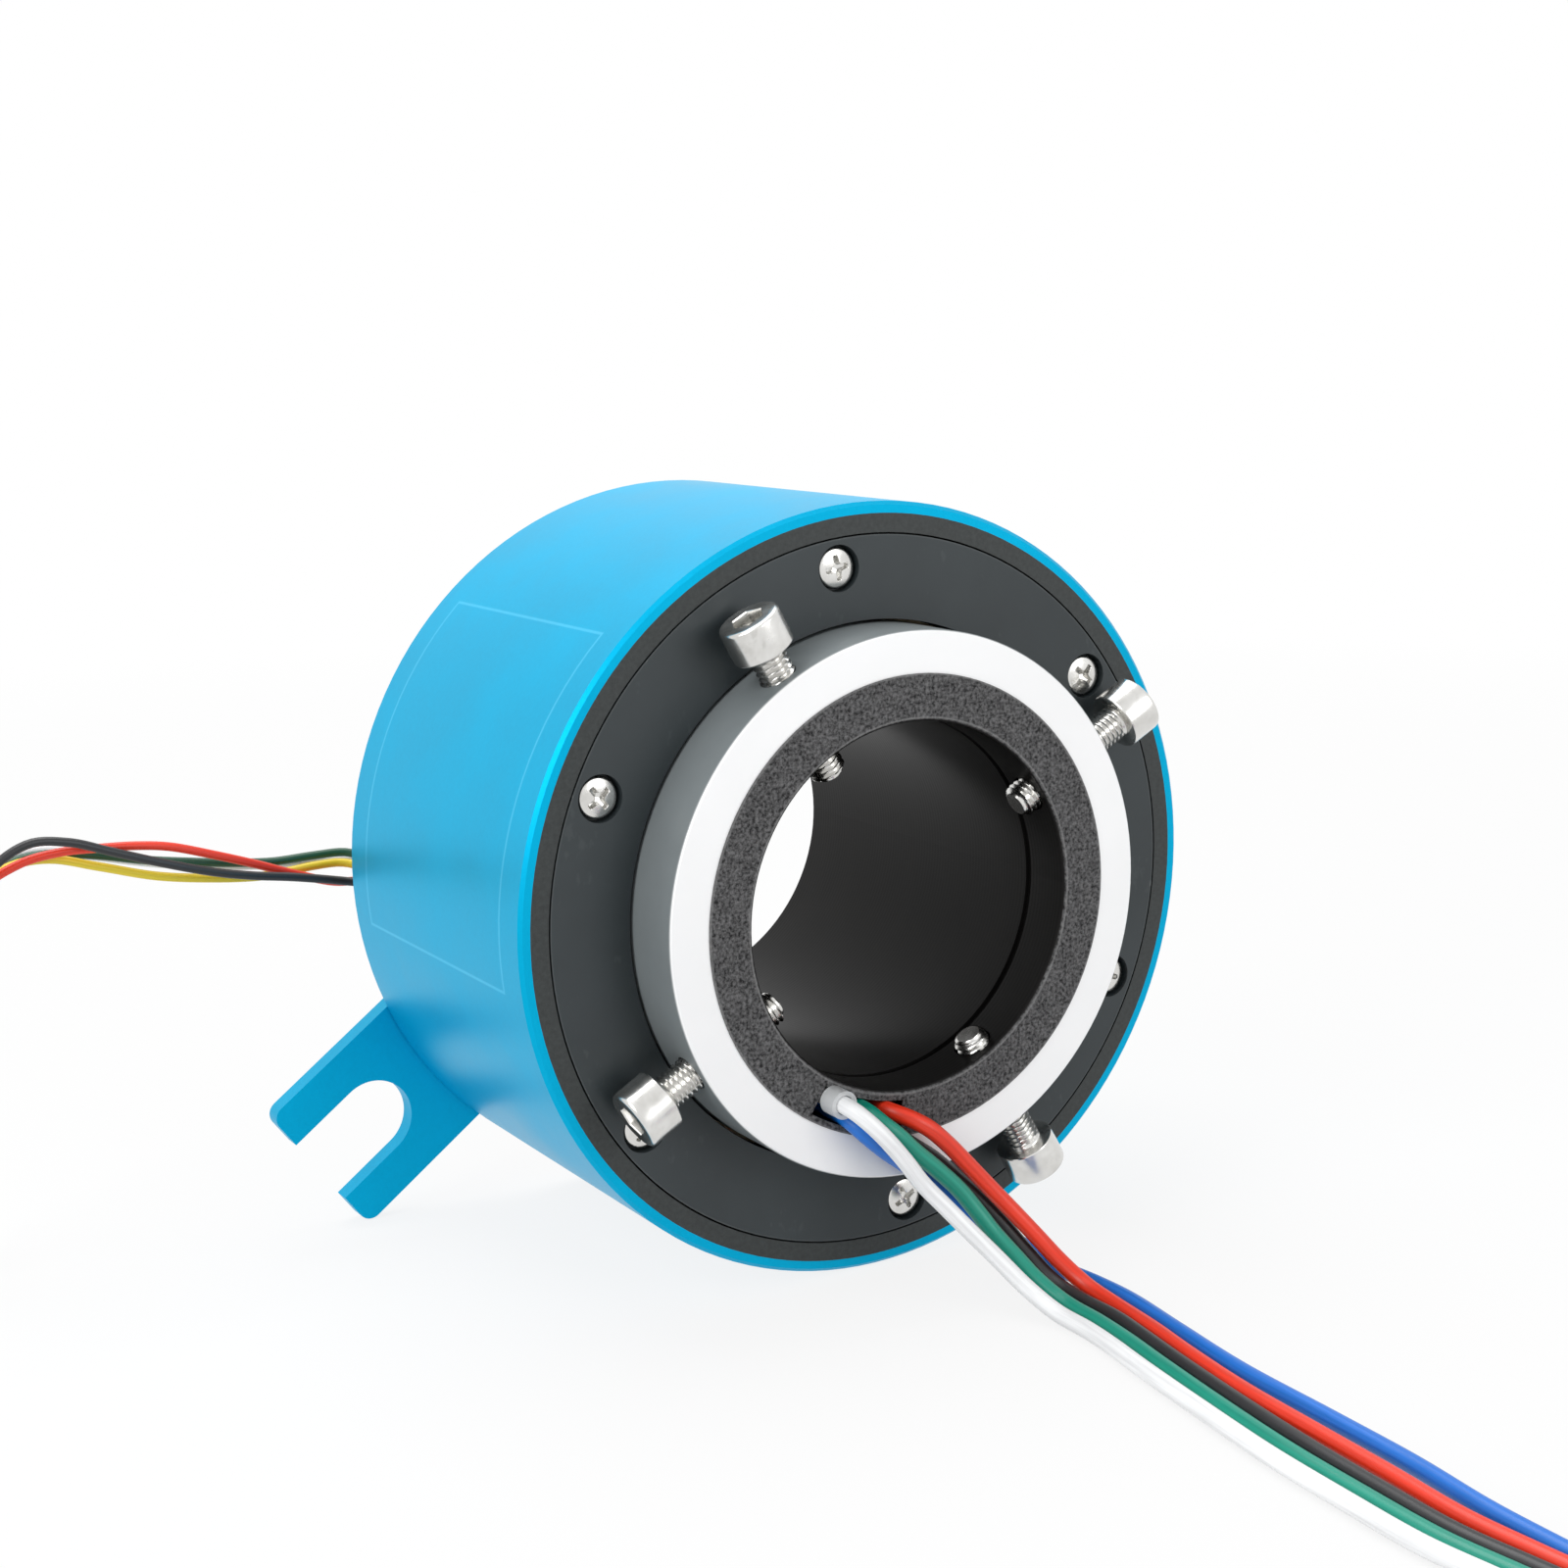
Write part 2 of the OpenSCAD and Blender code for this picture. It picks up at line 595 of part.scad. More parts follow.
// Inner ring of a bearing whose near face is at y.
module bearing_inner(y) {
    color("gainsboro") difference() {
        ring(step_r, step_r + race_h, y, y + bearing_w);
        ball_track(y);
    }
}

module ball_track(y) {
    around() translate([0, 0, y + bearing_w / 2])
        rotate_extrude() translate([ball_pitch_r, 0]) circle(r = track_r);
}

module ball_places(y) {
    for (k = [0 : ball_n - 1]) place(k * 360 / ball_n, ball_pitch_r, y + bearing_w / 2) children();
}

module bearing_balls(y) {
    color("silver") ball_places(y) sphere(r = ball_r);
}

// Cage: a thin ring with a round pocket for each ball.
module bearing_cage(y) {
    color("tan") difference() {
        ring(
            ball_pitch_r - cage_h / 2, ball_pitch_r + cage_h / 2,
            y + (bearing_w - cage_w) / 2, y + (bearing_w + cage_w) / 2
        );
        ball_places(y) rotate([0, 90, 0]) cylinder(r = pocket_r, h = 2 * cage_h, center = true);
    }
}

// Sleeve that the shaft goes through, with its grooves for leads and retaining ring.
module rotor_sleeve() {
    sleeve_y1 = housing_len - sleeve_short;
    bore_edge = 0.4;
    // A shallow groove parts the shaft's seat from the stretch that the clamp screws come through.
    relief_deep = 0.6;
    relief_y0 = -2.2;
    relief_y1 = -1;
    color("dimgray") difference() {
        around() rotate_extrude() polygon([
            [bore_r, bore_edge - sleeve_out], [bore_r + bore_edge, -sleeve_out],
            [sleeve_r, -sleeve_out], [sleeve_r, front_bearing_y], [step_r, front_bearing_y],
            [step_r, plate_y], [step_r - clip_deep, plate_y], [step_r - clip_deep, plate_y + clip_t],
            [step_r, plate_y + clip_t], [step_r, sleeve_y1], [bore_r + bore_edge, sleeve_y1],
            [bore_r, sleeve_y1 - bore_edge], [bore_r, relief_y1], [bore_r + relief_deep, relief_y1],
            [bore_r + relief_deep, relief_y0], [bore_r, relief_y0]
        ]);
        sector(groove_r0, groove_r1, -sleeve_out - 1, stack_y + 1, groove_a0, groove_a1);
        sector(groove_r0, step_r + 1, stack_y, rear_bearing_y - 1, groove_a0, groove_a1);
        for (k = [0 : 3]) clamp_place(k) cylinder(r = clamp_screw_d / 2 + 0.25, h = collar_r);
    }
}

// Puts children on clamp screw k's axis, their Z pointing outwards from the bore axis.
module clamp_place(k) {
    around(clamp_angle - 90 * k) translate([0, 0, -clamp_out]) rotate([0, 90, 0]) children();
}

// Clamp collar with its four tapped holes.
module clamp_collar() {
    face_y = collar_set - sleeve_out;
    edge = 0.3;
    color("white") difference() {
        around() rotate_extrude() polygon([
            [sleeve_r, face_y], [collar_r - edge, face_y], [collar_r, face_y + edge],
            [collar_r, front_bearing_y], [sleeve_r, front_bearing_y]
        ]);
        for (k = [0 : 3]) clamp_place(k) cylinder(r = clamp_screw_d / 2 + thread_gap, h = housing_r);
    }
}

// How far each clamp screw is backed out beyond the free thread.
clamp_backed = [0.1, 1.3, 2.2, 1.2];

// Clamp screw k: a socket cap screw with a pointed end.
module clamp_screw(k) {
    tip = collar_r + clamp_free + clamp_backed[k] - clamp_screw_len;
    point = 0.6;
    color("silver") clamp_place(k) translate([0, 0, tip]) difference() {
        union() {
            cylinder(r1 = clamp_screw_d / 2 - point, r2 = clamp_screw_d / 2, h = point);
            translate([0, 0, point]) cylinder(r = clamp_screw_d / 2, h = clamp_screw_len - point);
            translate([0, 0, clamp_screw_len]) cylinder(r = clamp_head_d / 2, h = clamp_head_h - 0.4);
            translate([0, 0, clamp_screw_len + clamp_head_h - 0.4])
                cylinder(r1 = clamp_head_d / 2, r2 = clamp_head_d / 2 - 0.4, h = 0.4);
        }
        translate([0, 0, clamp_screw_len + clamp_head_h / 2])
            rotate([0, 0, 30]) cylinder(r = clamp_key_w / 2 / cos(30), h = clamp_head_h, $fn = 6);
    }
}

// Open retaining ring behind the rear bearing.
module retaining_ring() {
    open_angle = 12;
    color("gray") difference() {
        sector(
            step_r - clip_deep, step_r + clip_out, plate_y, plate_y + clip_t,
            90 + open_angle, 450 - open_angle
        );
        for (s = [-1, 1])
            place(90 + s * (open_angle + 3), step_r + clip_out / 2, plate_y - 1)
                cylinder(r = 0.6, h = clip_t + 2);
    }
}

// Angle and radius of each rotor lead in the groove.
lead_points = [[-13.5, -24.5], [-11.5, -27.3], [-9, -26.5], [-7.5, -28.5], [-5, -27.5]];
function lead_angle(k) = atan2(lead_points[k][1], lead_points[k][0]);

// Conductor ring k with its solder pin down to the lead.
module conductor_ring(k) {
    half = ring_w / 2;
    pin_r0 = norm(lead_points[k]) + rotor_lead_d / 2 + pin_gap;
    color("goldenrod") {
        difference() {
            ring(foot_r, ring_r, ring_y(k) - half, ring_y(k) + half);
            around() translate([0, 0, ring_y(k)]) rotate_extrude()
                translate([ring_r + track_deep, 0]) circle(r = brush_track_r);
        }
        around(lead_angle(k)) translate([0, 0, ring_y(k)]) rotate([0, 90, 0])
            translate([0, 0, pin_r0]) cylinder(r = pin_d / 2, h = foot_r + 1 - pin_r0);
    }
}

// Insulator k: a barrier with a foot that the next ring sits on; the last has no foot.
module insulator(k) {
    y0 = stack_y + k * ring_pitch;
    y1 = y0 + barrier_w;
    boss_r = step_r + race_h - 0.2;
    relief = 0.6;
    front = k == 0 ? [[boss_r, y0], [boss_r, y0 + relief], [barrier_r, y0 + relief]] : [[barrier_r, y0]];
    back = k == ring_n
        ? [[barrier_r, y1 - relief], [boss_r, y1 - relief], [boss_r, y1]]
        : [[barrier_r, y1]];
    foot = k == ring_n
        ? [[step_r, y1]]
        : [[foot_r, y1], [foot_r, y0 + ring_pitch], [step_r, y0 + ring_pitch]];
    color("ivory") difference() {
        around() rotate_extrude() polygon(concat([[step_r, y0]], front, back, foot));
        if (k < ring_n)
            around(lead_angle(k)) translate([0, 0, ring_y(k)]) rotate([0, 90, 0])
                cylinder(r = pin_d / 2, h = ring_r);
    }
}

// Short clear sleeve around the white lead where it leaves the rotor.
module lead_sleeve() {
    inner = rotor_lead_d / 2 + lead_sleeve_gap;
    color("whitesmoke") translate([lead_points[0][0], -sleeve_out, lead_points[0][1]])
        rotate([90, 0, 0]) difference() {
        cylinder(r = inner + lead_sleeve_wall, h = lead_sleeve_len);
        translate([0, 0, -1]) cylinder(r = inner, h = lead_sleeve_len + 2);
    }
}

// Closed outer shape of a flat round coil lying on the floor.
module coil(centre, mean_r, w, h) {
    translate([centre[0], centre[1], floor_z + h / 2]) rotate_extrude() translate([mean_r, 0]) {
        square([w - h, h], center = true);
        for (s = [-1, 1]) translate([s * (w - h) / 2, 0]) circle(r = h / 2);
    }
}

module rotor_lead(shade, route) {
    color(shade) tube(route, rotor_lead_d);
}

module stator_lead(shade, route) {
    color(shade) tube(route, stator_lead_d);
}

module rotor_lead_coil() {
    color("gray") coil(rotor_coil, rotor_coil_r, rotor_coil_w, rotor_coil_h);
}

module stator_lead_coil() {
    color("gray") coil(stator_coil, stator_coil_r, stator_coil_w, stator_coil_h);
}

housing();
front_flange();
front_cover();
cover_screws();
rear_plate();
tie_screws();
torque_tab();
tab_screws();
lead_grommet();
brush_block();
brush(0);  // brush_1
brush(1);  // brush_2
brush(2);  // brush_3
brush(3);  // brush_4
brush(4);  // brush_5
bearing_outer(front_bearing_y);  // front_bearing_outer
bearing_inner(front_bearing_y);  // front_bearing_inner
bearing_balls(front_bearing_y);  // front_bearing_balls
bearing_cage(front_bearing_y);  // front_bearing_cage
bearing_outer(rear_bearing_y);  // rear_bearing_outer
bearing_inner(rear_bearing_y);  // rear_bearing_inner
bearing_balls(rear_bearing_y);  // rear_bearing_balls
bearing_cage(rear_bearing_y);  // rear_bearing_cage
rotor_sleeve();
clamp_collar();
retaining_ring();
clamp_screw(0);  // clamp_screw_1
clamp_screw(1);  // clamp_screw_2
clamp_screw(2);  // clamp_screw_3
clamp_screw(3);  // clamp_screw_4
conductor_ring(0);  // ring_1
conductor_ring(1);  // ring_2
conductor_ring(2);  // ring_3
conductor_ring(3);  // ring_4
conductor_ring(4);  // ring_5
insulator(0);  // insulator_1
insulator(1);  // insulator_2
insulator(2);  // insulator_3
insulator(3);  // insulator_4
insulator(4);  // insulator_5
insulator(5);  // insulator_6
lead_sleeve();
rotor_lead("white", white_route);  // rotor_lead_white
rotor_lead("royalblue", blue_route);  // rotor_lead_blue
rotor_lead("green", green_route);  // rotor_lead_green
rotor_lead("black", black_route);  // rotor_lead_black
rotor_lead("red", red_route);  // rotor_lead_red
rotor_lead_coil();
stator_lead("white", stator_white_route);  // stator_lead_white
stator_lead("red", stator_red_route);  // stator_lead_red
stator_lead("green", stator_green_route);  // stator_lead_green
stator_lead("gold", stator_yellow_route);  // stator_lead_yellow
stator_lead("black", stator_black_route);  // stator_lead_black
stator_lead_coil();
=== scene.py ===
import math

import bpy
import numpy as np
from mathutils import Matrix


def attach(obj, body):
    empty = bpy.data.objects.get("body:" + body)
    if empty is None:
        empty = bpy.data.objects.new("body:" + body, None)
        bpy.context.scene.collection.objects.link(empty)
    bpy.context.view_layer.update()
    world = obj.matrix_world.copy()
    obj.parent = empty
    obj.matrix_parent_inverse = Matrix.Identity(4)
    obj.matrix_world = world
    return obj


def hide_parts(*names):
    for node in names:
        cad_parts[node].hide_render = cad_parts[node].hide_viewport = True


# Through-bore slip ring lying on its side. The bore axis is Y, the clamp collar faces -Y, Z is up.
# Sizes of shapes are in millimetres and become metres through MM. Those in materials, lights and
# camera are in metres.
MM = 0.001

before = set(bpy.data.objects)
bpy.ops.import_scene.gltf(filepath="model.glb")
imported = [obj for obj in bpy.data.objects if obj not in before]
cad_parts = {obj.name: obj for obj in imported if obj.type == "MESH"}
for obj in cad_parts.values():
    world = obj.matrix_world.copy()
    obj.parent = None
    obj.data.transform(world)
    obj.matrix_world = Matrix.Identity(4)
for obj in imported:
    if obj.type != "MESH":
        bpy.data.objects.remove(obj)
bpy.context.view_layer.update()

# ---------------------------------------------------------------- camera


def studio_camera():
    """A long lens, a little above the bore axis and to the left of it, with a slight roll."""
    right = np.array([0.85303, -0.52166, -0.01489])
    up = np.array([0.11045, 0.15257, 0.98211])
    back = np.array([-0.51005, -0.83941, 0.18776])
    place = np.array([-0.1829, -0.2775, 0.0791])
    data = bpy.data.cameras.new("studio_camera")
    data.sensor_width = 36
    data.sensor_height = 36
    data.lens = 56.71
    data.clip_start = 0.01
    data.clip_end = 50
    camera = bpy.data.objects.new("studio_camera", data)
    axes = np.eye(4)
    axes[:3, 0], axes[:3, 1], axes[:3, 2], axes[:3, 3] = right, up, back, place
    camera.matrix_world = Matrix(axes.tolist())
    bpy.context.scene.collection.objects.link(camera)
    bpy.context.scene.camera = camera


studio_camera()

# ---------------------------------------------------------------- surfaces from grids


def new_piece(name, points, faces, smooth_angle, uv=None):
    """A mesh object at the origin from vertex and face arrays, with edges sharper than smooth_angle
    degrees left sharp; uv holds one (u, v) per vertex."""
    mesh = bpy.data.meshes.new(name)
    mesh.from_pydata(points.tolist(), [], faces)
    if uv is not None:
        layer = mesh.uv_layers.new(name="UVMap")
        corner = np.zeros(len(mesh.loops), dtype=np.int32)
        mesh.loops.foreach_get("vertex_index", corner)
        layer.data.foreach_set("uv", uv[corner].astype(np.float32).ravel())
    mesh.update()
    mesh.shade_smooth()
    mesh.set_sharp_from_angle(angle=math.radians(smooth_angle))
    piece = bpy.data.objects.new(name, mesh)
    bpy.context.scene.collection.objects.link(piece)
    return piece


def shell_faces(rows, cols, offset=0):
    """Quads of a grid of rows x cols closed round its columns, with a fan to one end point at each
    end: the points are the grid's, then the first end's, then the last end's."""
    i, j = np.meshgrid(np.arange(rows - 1), np.arange(cols), indexing="ij")
    k = (j + 1) % cols
    quads = np.stack([i * cols + j, i * cols + k, (i + 1) * cols + k, (i + 1) * cols + j], -1)
    ring = np.arange(cols)
    turn = (ring + 1) % cols
    first = np.stack([np.full(cols, rows * cols), turn, ring], -1)
    top = (rows - 1) * cols
    last = np.stack([np.full(cols, rows * cols + 1), top + ring, top + turn], -1)
    return (quads.reshape(-1, 4) + offset).tolist() + (np.vstack([first, last]) + offset).tolist()


def shell(grid):
    """Points of a closed grid with its two end points, each the mean of its end row."""
    ends = np.stack([grid[0].mean(axis=0), grid[-1].mean(axis=0)])
    return np.vstack([grid.reshape(-1, 3), ends])


# ---------------------------------------------------------------- routes of the leads

# Rotor leads: from their rings, out of the groove in the sleeve, down over the collar to the floor.
ROTOR_ROUTES = {
    "white": [
        (-13.5, 19.8, -24.5), (-13.5, 5, -24.5), (-13.5, -4, -24.5), (-13.5, -9, -24.5),
        (-13.5, -12.6, -24.5), (-12.7, -15.2, -25.3), (-10.3, -16.9, -28), (-7, -17.2, -32),
        (-4, -17.2, -36), (-1, -18, -39.5), (1.7, -20, -43), (4.2, -23, -46.5),
        (6.5, -26.5, -50), (8.2, -31, -52.4), (8.6, -37, -52.8), (8, -43, -52.8),
        (6.8, -51, -52.8), (5.3, -63, -52.8), (3.8, -77, -52.8), (3.2, -90, -52.8),
        (3, -102, -52.8), (4.2, -112, -52.8), (5, -120, -52.8), (5, -126.1, -52.8)],
    "blue": [
        (-11.5, 24.8, -27.3), (-11.5, 5, -27.3), (-11.5, -3, -27.3), (-11.5, -9, -27.3),
        (-11.2, -11.4, -27.9), (-9.8, -13, -29.6), (-6.9, -13.2, -32.2), (-3.2, -12.6, -35),
        (0.3, -12.1, -38), (3.9, -12.2, -41.8), (8, -12.3, -45.6), (12.4, -13.7, -48.2),
        (15.5, -16, -50.3), (18, -20, -52.3), (19.4, -25.5, -52.8), (19.5, -33, -52.8),
        (18.2, -44, -52.8), (16.7, -58, -52.8), (16.4, -74, -52.8), (16, -88, -52.8),
        (14.9, -100, -52.8), (14.8, -110, -52.8), (15, -114.5, -52.8), (15, -117.1, -52.8)],
    "green": [
        (-9, 29.8, -26.5), (-9, 5, -26.5), (-9, -4, -26.5), (-9, -9, -26.5),
        (-8.9, -11.8, -26.7), (-8, -13.9, -27.9), (-6.2, -14.9, -29.6), (-3.7, -15.2, -32.2),
        (-0.6, -15.5, -35.1), (2.5, -16.2, -38.3), (4.7, -17.4, -41.5), (6.4, -19.2, -44.6),
        (8, -21.8, -47.4), (9.5, -25, -50.2), (11, -29.5, -52.4), (11.3, -36, -52.8),
        (10.6, -43, -52.8), (9.4, -51, -52.8), (7.8, -63, -52.8), (6.3, -77, -52.8),
        (5.7, -90, -52.8), (5.5, -102, -52.8), (6.7, -112, -52.8), (7.5, -118, -52.8),
        (7.5, -122.5, -52.8)],
    "black": [
        (-7.5, 34.8, -28.5), (-7.5, 5, -28.5), (-7.5, -3, -28.5), (-7.5, -8.6, -28.5),
        (-7, -10.9, -28.9), (-5, -12.2, -30.4), (-2.2, -12.5, -32.5), (1.2, -12.3, -35),
        (4.4, -12.9, -38.1), (7.6, -14, -41.4), (10, -16.2, -45), (11.8, -19, -48.4),
        (13.2, -23, -51.5), (14, -28, -52.8), (14, -36, -52.8), (13.1, -43, -52.8),
        (11.9, -51, -52.8), (10.4, -63, -52.8), (9, -77, -52.8), (8.3, -90, -52.8),
        (8, -102, -52.8), (9.2, -112, -52.8), (10, -118, -52.8), (10, -120.1, -52.8)],
    "red": [
        (-5, 39.8, -27.5), (-5, 5, -27.5), (-5, -4, -27.5), (-5, -8, -27.5),
        (-4.6, -10.8, -27.6), (-2.8, -12.8, -28.4), (-0.4, -13.9, -30), (2.4, -14.4, -32.7),
        (5.2, -15.2, -36), (8, -16.2, -39.4), (10.7, -17.7, -42.8), (13, -19.9, -46.1),
        (15, -22.9, -49.4), (16.6, -26.9, -52), (16.8, -33, -52.8), (15.8, -42, -52.8),
        (14.4, -51, -52.8), (13, -63, -52.8), (12.4, -76, -52.8), (11.9, -88, -52.8),
        (11.2, -100, -52.8), (11.9, -110, -52.8), (12.5, -116, -52.8), (12.5, -118.4, -52.8)],
}

# Stator leads: from the brush block, out of the grommet, sideways and down to the floor.
STATOR_ROUTES = {
    "white": [
        (-45.5, 40.6, -2), (-45.5, 50, -2), (-45.5, 58, -2), (-45.5, 64.5, -2),
        (-46.7, 67.6, -1.8), (-50, 69.4, -1.4), (-56, 69.5, -1), (-64, 69.5, -0.5),
        (-72, 69.5, 0.5), (-80, 69.5, 2), (-88, 69.5, 4), (-95, 69.5, 5.8),
        (-101, 69.5, 5), (-107, 69.5, 1.5), (-112, 69.5, -6), (-115.5, 69.5, -16),
        (-118, 69.5, -28), (-121, 69.5, -40), (-126, 69.5, -49.5), (-132, 69.5, -53.1),
        (-138.5, 69.5, -53.3)],
    "red": [
        (-46.2, 40.6, -3.8), (-46.2, 50, -3.8), (-46.2, 56, -3.8), (-46.2, 60, -3.8),
        (-47.2, 63, -3.8), (-49.8, 64.8, -3.8), (-54, 65, -3.4), (-60, 65, -1.4),
        (-66, 65, 0.9), (-72, 65, 3), (-78, 65, 4.9), (-83, 65, 5.7),
        (-88, 65, 6), (-94, 65, 6.1), (-100, 65, 5), (-106, 65, 1.5),
        (-111, 65, -6), (-114.5, 65, -16), (-117, 65, -28), (-120, 65, -40),
        (-125, 65, -49.5), (-132, 65, -53.1), (-142.5, 65, -53.3)],
    "green": [
        (-47, 40.6, -1), (-47, 50, -1), (-47, 58, -1), (-47, 63, -1),
        (-48.2, 66, -0.6), (-51, 67.7, 0.2), (-56, 68, 0.2), (-62, 68, 0.1),
        (-68, 68, 0.7), (-74, 68, 1.6), (-81, 68, 2.8), (-88, 68, 4.4),
        (-95, 68, 5.4), (-101, 68, 4.5), (-107, 68, 1), (-112, 68, -6),
        (-115.5, 68, -16), (-118, 68, -28), (-121, 68, -40), (-126, 68, -49.5),
        (-133, 68, -53.1), (-139.4, 68, -53.3)],
    "yellow": [
        (-48.5, 40.6, -2), (-48.5, 50, -2), (-48.5, 57, -2), (-48.5, 61.5, -2),
        (-49.4, 64.5, -1.6), (-52, 66.3, -1), (-56, 66.5, -1), (-60, 66.5, -1.3),
        (-65, 66.5, -1.5), (-72, 66.5, -0.8), (-80, 66.5, 0.6), (-88, 66.5, 3),
        (-95, 66.5, 5), (-101, 66.5, 4.5), (-107, 66.5, 1), (-112, 66.5, -6),
        (-115.5, 66.5, -16), (-118, 66.5, -28), (-121, 66.5, -40), (-126, 66.5, -49.5),
        (-133, 66.5, -53.1), (-140.7, 66.5, -53.3)],
    "black": [
        (-48.3, 40.6, -3.8), (-48.3, 50, -3.8), (-48.3, 55, -3.8), (-48.3, 58.5, -3.8),
        (-49.2, 61.6, -3.7), (-51.8, 63.3, -3.4), (-56, 63.5, -2.5), (-61, 63.5, -1.5),
        (-67, 63.5, -0.5), (-73, 63.5, 0.9), (-80, 63.5, 3.1), (-87, 63.5, 5.6),
        (-93, 63.5, 7.7), (-99, 63.5, 8), (-105, 63.5, 4), (-110, 63.5, -4),
        (-113.5, 63.5, -15), (-116, 63.5, -28), (-119, 63.5, -40), (-124, 63.5, -49.5),
        (-131, 63.5, -53.1), (-145.3, 63.5, -53.3)],
}

LEAD_LENGTH = 300
STRIPPED = 6
LEAD_STEP = 0.9
# Degrees between points on a coil's turns, and where in each turn the climb starts and how far it goes.
TURN_STEP = 7.5
CLIMB_START = 175
CLIMB_SPAN = 85
# For each body: routes, coil centre, lead diameter and the most turns in the coil.
LEAD_SETS = {
    "rotor": (ROTOR_ROUTES, (24, -136), 2.4, 1.72),
    "stator": (STATOR_ROUTES, (-150, 75.5), 1.3, 3.6),
}


def smooth_route(points):
    """The curve through the points whose slope at each is half the step between its neighbours:
    a cubic in t from 0 to 1 on every stretch, worked out for all stretches at once."""
    steps = 12
    p = np.array(points, dtype=float)
    p = np.vstack([2 * p[0] - p[1], p, 2 * p[-1] - p[-2]])
    a, b, c, d = (p[k:len(p) - 3 + k, None, :] for k in range(4))
    t = (np.arange(steps) / steps)[None, :, None]
    curve = 0.5 * (2 * b + (c - a) * t + (2 * a - 5 * b + 4 * c - d) * t ** 2
                   + (3 * b - a - 3 * c + d) * t ** 3)
    return np.vstack([curve.reshape(-1, 3), p[-2]])


def coil_turns(start, centre, diameter, length, most_turns):
    """Turns of the unseen length round a centre on the floor. The lead arrives at its tangent point,
    keeps that radius, and from CLIMB_START degrees of every turn climbs by one diameter over the
    next CLIMB_SPAN degrees, so that it passes over the leads that still come in."""
    offset = np.array(start[:2]) - np.array(centre)
    radius = np.hypot(*offset)
    turns = min(length / (2 * math.pi * radius), most_turns)
    degrees = np.arange(0, 360 * turns, TURN_STEP)[1:]
    way = 1 if abs(offset[0]) > abs(offset[1]) else -1
    at = math.atan2(offset[1], offset[0]) + way * np.radians(degrees)
    lap = np.arange(math.ceil(turns))[:, None]
    t = np.clip((degrees - 360 * lap - CLIMB_START) / CLIMB_SPAN, 0, 1)
    climb = (t * t * (3 - 2 * t)).sum(axis=0)
    return np.stack([centre[0] + radius * np.cos(at), centre[1] + radius * np.sin(at),
                     start[2] + climb * diameter], -1)


def lead_path(points, centre, diameter, most_turns):
    """The whole line of a lead: its smooth route, the straight run to the coil, and its turns.
    The run is along the axis in which the lead's last stretch goes."""
    seen = smooth_route(points)
    last = seen[-1]
    axis = np.abs(last - seen[-2])[:2].argmax()
    tangent = last.copy()
    tangent[axis] = centre[axis]
    run = last + (tangent - last) * np.linspace(0, 1, 8)[1:, None]
    line = np.vstack([seen, run])
    laid = np.linalg.norm(np.diff(line, axis=0), axis=1).sum()
    return np.vstack([line, coil_turns(tangent, centre, diameter, LEAD_LENGTH - laid, most_turns)])


def even_line(line, step):
    """The same line with points at equal distances along it."""
    along = np.concatenate([[0], np.cumsum(np.linalg.norm(np.diff(line, axis=0), axis=1))])
    even = np.linspace(0, along[-1], int(along[-1] / step) + 1)
    return np.stack([np.interp(even, along, line[:, k]) for k in range(3)], -1), even


def carried_sides(line):
    """Two unit vectors across the line at each point. The first starts upright or sideways and is
    turned from each point to the next only as far as the line itself turns."""
    t = np.gradient(line, axis=0)
    t /= np.linalg.norm(t, axis=1)[:, None]
    u = np.empty_like(t)
    side = np.array([0.0, 0.0, 1.0])
    for i, ahead in enumerate(t):
        side = side - side.dot(ahead) * ahead
        side /= np.linalg.norm(side)
        u[i] = side
    return u, np.cross(t, u)


def lead_piece(name, line, diameter):
    """A round tube along the line. Over the last STRIPPED millimetres the radius drops from the
    jacket's 0.5 of the diameter to the conductor's 0.3. In the UV map, u runs round the tube and v
    is the distance along it in metres, negative on the bare conductor."""
    cols = 16
    points, along = even_line(line, LEAD_STEP)
    u, v = carried_sides(points)
    bare = along > along[-1] - STRIPPED
    radius = np.where(bare, 0.3, 0.5) * diameter
    a = 2 * math.pi * np.arange(cols) / cols
    ring = np.cos(a)[None, :, None] * u[:, None, :] + np.sin(a)[None, :, None] * v[:, None, :]
    grid = (points[:, None, :] + radius[:, None, None] * ring) * MM
    uv = np.zeros((len(points), cols, 2))
    uv[..., 0] = a / (2 * math.pi)
    uv[..., 1] = (np.where(bare, -along, along) * MM)[:, None]
    uv = np.vstack([uv.reshape(-1, 2), uv[0, 0], uv[-1, 0]])
    piece = new_piece(name, shell(grid), shell_faces(len(points), cols), 60, uv)
    return piece, points * MM


def lead_shade(body, colour):
    """The thin green lead is darker than the thick one."""
    return "dark_green" if (body, colour) == ("stator", "green") else colour


def make_leads():
    """All ten leads with their turns. The last of a set also stands for the set's coil in the CAD."""
    leads = {}
    for body, (routes, centre, diameter, most_turns) in LEAD_SETS.items():
        for colour, points in routes.items():
            path = lead_path(points, centre, diameter, most_turns)
            piece, line = lead_piece(f"{body}_{colour}_lead", path, diameter)
            nodes = [f"{body}_lead_{colour}"]
            if colour == list(routes)[-1]:
                nodes.append(f"{body}_lead_coil")
            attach(piece, body)
            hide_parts(*nodes)
            leads[body, colour] = piece
    return leads


leads = make_leads()

# ---------------------------------------------------------------- screws

CLAMP_OUT = 5.8
CLAMP_ANGLE = 119.5
CLAMP_TIPS = (21.6, 22.8, 23.7, 22.7)
CLAMP_LEN = 20
CLAMP_PITCH = 0.8
CLAMP_CREST_R = 2.49
CLAMP_THREAD_DEEP = 0.5
CLAMP_KEY_R = 2.0
